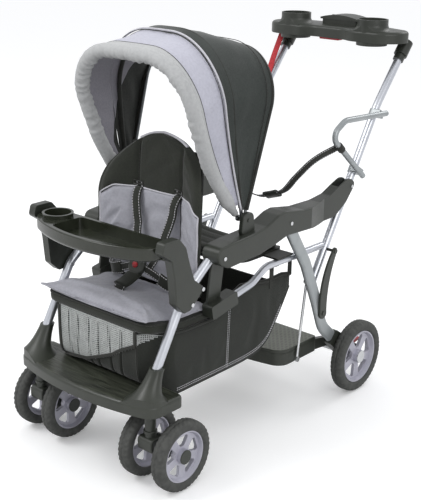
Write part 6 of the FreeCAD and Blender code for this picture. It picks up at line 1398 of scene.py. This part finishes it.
# places rearward and heights along the strip's middle, then along the bag's upper edge
BAG_LOW = [(-32, 384), (-31.5, 330), (-29.5, 285), (-24, 258), (-8, 243), (20, 239.5), (30, 230), (38, 214),
           (62, 206), (120, 205.5), (220, 206), (320, 208), (378, 217), (418, 240), (446, 276), (480, 326),
           (505, 366)]
BAG_TOP = [(-32, 363), (60, 363), (198, 361), (216, 382), (250, 402), (300, 421), (350, 412), (410, 404),
           (470, 407), (503, 400)]
# places across and heights of the bound edge, then places across and lean of the pleats
NET_EDGE = [(-180, 241), (-119, 246), (-41, 262), (10, 282), (56, 302), (82, 320), (145, 353), (180, 372)]
PLEATS = ((-101, 0.02), (-66, -0.05), (-28, 0.04), (8, -0.03), (44, 0.05), (88, -0.02))
PLEAT_MM, PLEAT_WIDTH = 6.5, 2.6
STRIP_COLUMNS, SIDE_COLUMNS, SIDE_ROWS = 141, 29, 150
BAG_BELLY, BAG_FOLD, BAG_SAG, BAG_FLOOR = 5.0, 4.2, 7.0, 202.5
BAG_FRONT_TOP = 384
SLACK = 1.04


def bag_curve(points, y):
    return float(np.interp(y, [p[0] for p in points], [p[1] for p in points]))


def bag_top(y):
    """The bag's upper edge, which follows the seat board's underside in front."""
    return bag_curve(BAG_TOP, y) + seat_lift(y)


def bag_half(y):
    """The bag narrows to its front corners."""
    return BAG_FRONT_HALF + (BAG_HALF - BAG_FRONT_HALF) * smoothstep(y, -34, 66) ** 0.8


def in_net(x, y, z):
    """True on the net: the bag's front, above the bound edge."""
    return y < 40 and z > bag_curve(NET_EDGE, x)


BAG_LINE = smooth_line([(0, y, z) for y, z in BAG_LOW], 140)


def bag_side(side):
    rows, spots = [], []
    ys = np.interp(np.linspace(0, 1, SIDE_ROWS), [0, 0.1, 0.3, 1], [-32, -24, 60, 503])
    lower = np.interp(ys, BAG_LINE[:, 1], BAG_LINE[:, 2])
    for y, low in zip(ys, lower):
        high = max(bag_top(y), low + 0.4)
        deep = min(max(high - low, 1.0) / 160, 1.0)
        row = []
        for k in range(SIDE_COLUMNS):
            t = k / (SIDE_COLUMNS - 1)
            z = low + (high - low) * t
            belly = BAG_BELLY * math.sin(math.pi * t)
            fold = BAG_FOLD * wave(y * 1.1, z * 0.45, 31.0 + side, 42)
            fold *= math.sin(math.pi * min(t * 1.15, 1.0))
            x = min(bag_half(y) + (belly * 0.4 + fold) * deep, BAG_HALF + 1.2)
            row.append(place(side * x, y, z))
            spots.append((side * x, y, z))
        rows.append(row)

    def paint(i, j):
        return 1 if in_net(*spots[i * SIDE_COLUMNS + j]) and side > 0 else 0

    return rows_to_mesh("basket_side_" + NAMES[side], rows, [DARK_MESH, GREY_NET], paint=paint)


def bag_strip():
    """The front with its net, the floor and the rear in one strip."""
    rows, spots = [], []
    for y, z in BAG_LINE[:, 1:]:
        half = bag_half(y)
        row = []
        for k in range(STRIP_COLUMNS):
            t = -1 + 2 * k / (STRIP_COLUMNS - 1)
            x = t * half
            sag = BAG_SAG * (1 - t * t) * smoothstep(y, 30, 120) * (1 - smoothstep(y, 380, 440))
            fold = 2.0 * wave(x * 0.7, y, 3.0, 60)
            front = smoothstep(-y, 0, 20) * smoothstep(BAG_FRONT_TOP - z, 0, 30) * (1 - t ** 8)
            pleat = 3.4 * front * wave(x * 0.6, z * 0.4, 41.0, 30)
            for pleat_x, lean in PLEATS:
                away = (x - pleat_x - lean * (BAG_FRONT_TOP - z)) / PLEAT_WIDTH
                pleat -= PLEAT_MM * front * math.exp(-away * away)
            level = max(z - sag * 0.4 + fold * 0.6, BAG_FLOOR)
            row.append(place(x, y - 1.5 * (1 - t * t) - pleat, level))
            spots.append((x, y, z))
        rows.append(row)

    def paint(i, j):
        return 1 if in_net(*spots[i * STRIP_COLUMNS + j]) else 0

    return rows_to_mesh("basket_strip", rows, [DARK_MESH, GREY_NET, DARK_MESH], paint=paint)


SIDE_WIDE, SIDE_TALL = 0.56, 0.222
for side in (-1, 1):
    panel = bag_side(side)
    area = area_of(panel)
    done(thickened(panel, 1.8), "frame", "dark_mesh_fabric")
    print(panel.name, "flat, metres", SIDE_WIDE, SIDE_TALL, "area", round(area, 4))
strip = bag_strip()
strip_flat = (2 * BAG_HALF * MM, line_length(BAG_LINE) * MM * SLACK)
done(thickened(strip, 1.6), "frame", "dark_mesh_fabric", "basket", "basket_net")

# %% Basket seams and bindings
def bag_trim(name, line, section, **how):
    trim(name, line, section, BOUND_EDGE, "frame", "dark_mesh_fabric", **how)


def front_at(z):
    """The bag's front at a height."""
    first = [(p[2], p[1]) for p in BAG_LINE[::-1] if p[1] < 62]
    return float(np.interp(z, [p[0] for p in first], [p[1] for p in first]))


for side in (-1, 1):
    label = NAMES[side]
    line = [place(side * (bag_half(y) + 0.4), y - 1, z - 0.6) for y, z in BAG_LINE[:, 1:]]
    bag_trim("basket_seam_" + label, line, round_section(2.0, 8))
    above = [place(side * (BAG_HALF + 1.9 if y > 60 else bag_half(y) + 2.6), y, z + 7.5)
             for y, z in BAG_LINE[:, 1:] if 62 < y < 470]
    lines = [above, [p + Vector((0, 0, 0.0055)) for p in above]]
    tall = [place(side * (BAG_HALF + 2.1), 246 + 6 * t, 214 + t * 168) for t in np.linspace(0, 1, 40)]
    lines += [tall, [p + Vector((0, 0.0055, 0)) for p in tall]]
    sewn = stitches("basket_stitches_" + label, lines, WHITE_THREAD, 3.6, 2.6, 1.2)
    done(sewn, "frame", "dark_mesh_fabric")
    top_line = [place(side * (bag_half(y) + 0.8), y, bag_top(y) - 1) for y in np.linspace(-31, 500, 130)]
    bag_trim("basket_binding_" + label, top_line, strap_section(3.2, 11))
    foot = bag_curve(NET_EDGE, side * BAG_FRONT_HALF)
    corner = [place(side * (bag_half(front_at(z)) - 3), front_at(z) - 2.2, z)
              for z in np.linspace(382, foot - 8, 30)]
    bag_trim("basket_corner_" + label, corner, strap_section(10, 2.6))
edge = [place(x, front_at(bag_curve(NET_EDGE, x)) - 4.2, bag_curve(NET_EDGE, x))
        for x in np.linspace(-138, 140, 60)]
bag_trim("basket_net_edge", edge, strap_section(8, 3.4), hint=(0, 0, 1))

# %% [markdown]
# ## Bench, rear belt and the red strap
# The bench pad behind is thin black padding with three sewn channels. The rear child's belt hangs in a
# bow between the grab bars.

# %% Bench pad
BENCH_HALF, BENCH_FRONT, BENCH_REAR = 153.0, 343.0, 493.0
BENCH_LOW = 467.3 + 9.0 - 0.2
BENCH_ROWS, BENCH_AROUND = 41, 88
BENCH_THICK, BENCH_DISH = 14.0, 15.6
BENCH_SEAMS, BENCH_SEAM_DEEP = (380, 418, 456), 2.0


def bench_pad():
    rows = []
    for i in range(BENCH_ROWS):
        v = 0.5 - 0.5 * math.cos(math.pi * (0.015 + 0.97 * i / (BENCH_ROWS - 1)))
        y = BENCH_FRONT + (BENCH_REAR - BENCH_FRONT) * v
        ends = min(v, 1 - v) * (BENCH_REAR - BENCH_FRONT)
        corner = 1 - max(0.0, 1 - ends / 24.0) ** 2.2 * 0.13
        thick = BENCH_THICK * (1 - max(0.0, 1 - ends / 20.0) ** 2.4 * 0.8)
        sewn = BENCH_SEAM_DEEP * sum(math.exp(-((y - seam) / 5.0) ** 2) for seam in BENCH_SEAMS)
        row = []
        for j in range(BENCH_AROUND):
            turn = math.tau * j / BENCH_AROUND
            side, up = math.cos(turn), math.sin(turn)
            x = BENCH_HALF * corner * rounded(side, 0.4)
            dish = BENCH_DISH * (1 - (x / 165) ** 2)
            level = BENCH_LOW - dish + thick / 2 * (1 + rounded(up, 0.7))
            row.append(place(x, y, level - sewn * max(0.0, up)))
        rows.append(row)
    return loaf("bench_pad_cloth", rows, HEAD_FABRIC)


bench = done(bench_pad(), "bench", "black_board", "bench_pad")

# %% Rear belt
BAR_X, BAR_Y, BAR_Z = 224.0, 646.0, 727.7
BAR_RUN = Vector((0, 0.7697, -0.6384))
LOOP_RADIUS, BELT_WIDE = 9.6, 24.0
belt_end = BAR_X - LOOP_RADIUS
route = smooth_line([place(belt_end, BAR_Y, BAR_Z), place(186, 584, 698), place(147, 560, 649),
                     place(111, 558, 607), place(61, 560, 585), place(10, 562, 574), place(-70, 570, 596),
                     place(-150, 604, 662), place(-belt_end, BAR_Y, BAR_Z)], 120)
webbing("rear_belt_webbing", route, BELT_WIDE, 1.8, BLACK_WEBBING, "handle", "black_webbing", side=BAR_RUN,
        nodes=("rear_belt",))
for side in (-1, 1):
    around = []
    for k in range(28):
        turn = math.tau * k / 28
        out = (ACROSS * math.cos(turn) + BAR_RUN.cross(-ACROSS) * math.sin(turn)) * LOOP_RADIUS
        around.append(place(side * BAR_X + out.x, BAR_Y + out.y, BAR_Z + out.z))
    trim("rear_belt_loop_" + NAMES[side], around, strap_section(BELT_WIDE, 2.0), BLACK_WEBBING, "handle",
         "black_webbing", hint=BAR_RUN, loop=True)
trim("rear_belt_buckle", route[44:54], strap_section(30, 11), CHARCOAL_PLASTIC, "handle", "charcoal_plastic",
     hint=BAR_RUN)

# %% Red strap
red_low, red_high = own("fold_strap")
red_middle = (red_low + red_high) / 2
fold = smooth_line([place(-199.3, red_high.y - 11, red_high.z - 2),
                    place(-198, red_middle.y - 6, red_middle.z),
                    place(-199.3, red_low.y + 9, red_low.z + 3)], 30)
webbing("fold_strap_webbing", fold, 20.0, 2.2, RED_WEBBING, "handle", "red_webbing", sewn=False,
        nodes=("fold_strap",))

# %% [markdown]
# ## Tyres
# Each tyre is one closed section turned round its axle: a soft sidewall, notched shoulders whose blocks
# are staggered from one side to the other, and a shallow groove that runs in a zigzag between them.

# %% Tyres
TYRE_STEPS = 240
NOTCH_MM = 1.7
ZIGZAG_MM = 1.9
RIM_RADIUS = {"front": 64.0, "rear": 77.0}
BLOCKS = {"front": 40, "rear": 48}
NOTCH_SHARE = 0.34
# share of the half width, share of the way from rim to tread, share of the notch
SIDEWALL = [(0.60, 0.0, 0), (0.84, 0.05, 0), (0.96, 0.22, 0), (1.0, 0.45, 0), (0.985, 0.66, 0),
            (0.92, 0.82, 0.7), (0.78, 0.935, 1), (0.60, 0.972, 1), (0.52, 0.978, 0), (0.30, 0.995, 0),
            (0.15, 1.0, 0), (0.09, 0.945, 0)]
GROOVE_FROM = 9


def tyre(node_name, body, rim, blocks):
    """A tyre round the x axis, as wide and high as the frame's own."""
    low, high = own(node_name)
    centre = (low + high) / 2
    half, radius = (high.x - low.x) / 2, (high.z - low.z) / 2
    rows = []
    for k in range(TYRE_STEPS):
        turn = math.tau * k / TYRE_STEPS
        swing = k * blocks / TYRE_STEPS
        zigzag = ZIGZAG_MM * (4 * abs(swing % 1.0 - 0.5) - 1)
        row = []
        for side in (-1, 1):
            cut = (swing + (0.5 if side > 0 else 0.0)) % 1.0 < NOTCH_SHARE
            wall = SIDEWALL if side < 0 else SIDEWALL[::-1]
            for out, rise, notch in wall:
                shift = zigzag if out <= SIDEWALL[GROOVE_FROM][0] else 0.0
                far = rim + (radius - rim) * rise - (NOTCH_MM * notch if cut else 0.0)
                row.append(place(centre.x + side * half * out + shift, centre.y + far * math.cos(turn),
                                 centre.z + far * math.sin(turn)))
        rows.append(row)
    made = outward(rows_to_mesh(node_name + "_tread", rows, [TYRE_FOAM], ring=True, loop=True))
    return done(made, body, "tyre_rubber", node_name)


BODIES = frame["record"]["behaviour"]["bodies"]
BODY_OF = {name: body for body, members in BODIES.items() for name in members}
for tyre_name in [name for name in NODES if "_tyre_" in name]:
    end = tyre_name.split("_")[0]
    tyre(tyre_name, BODY_OF[tyre_name], RIM_RADIUS[end], BLOCKS[end])
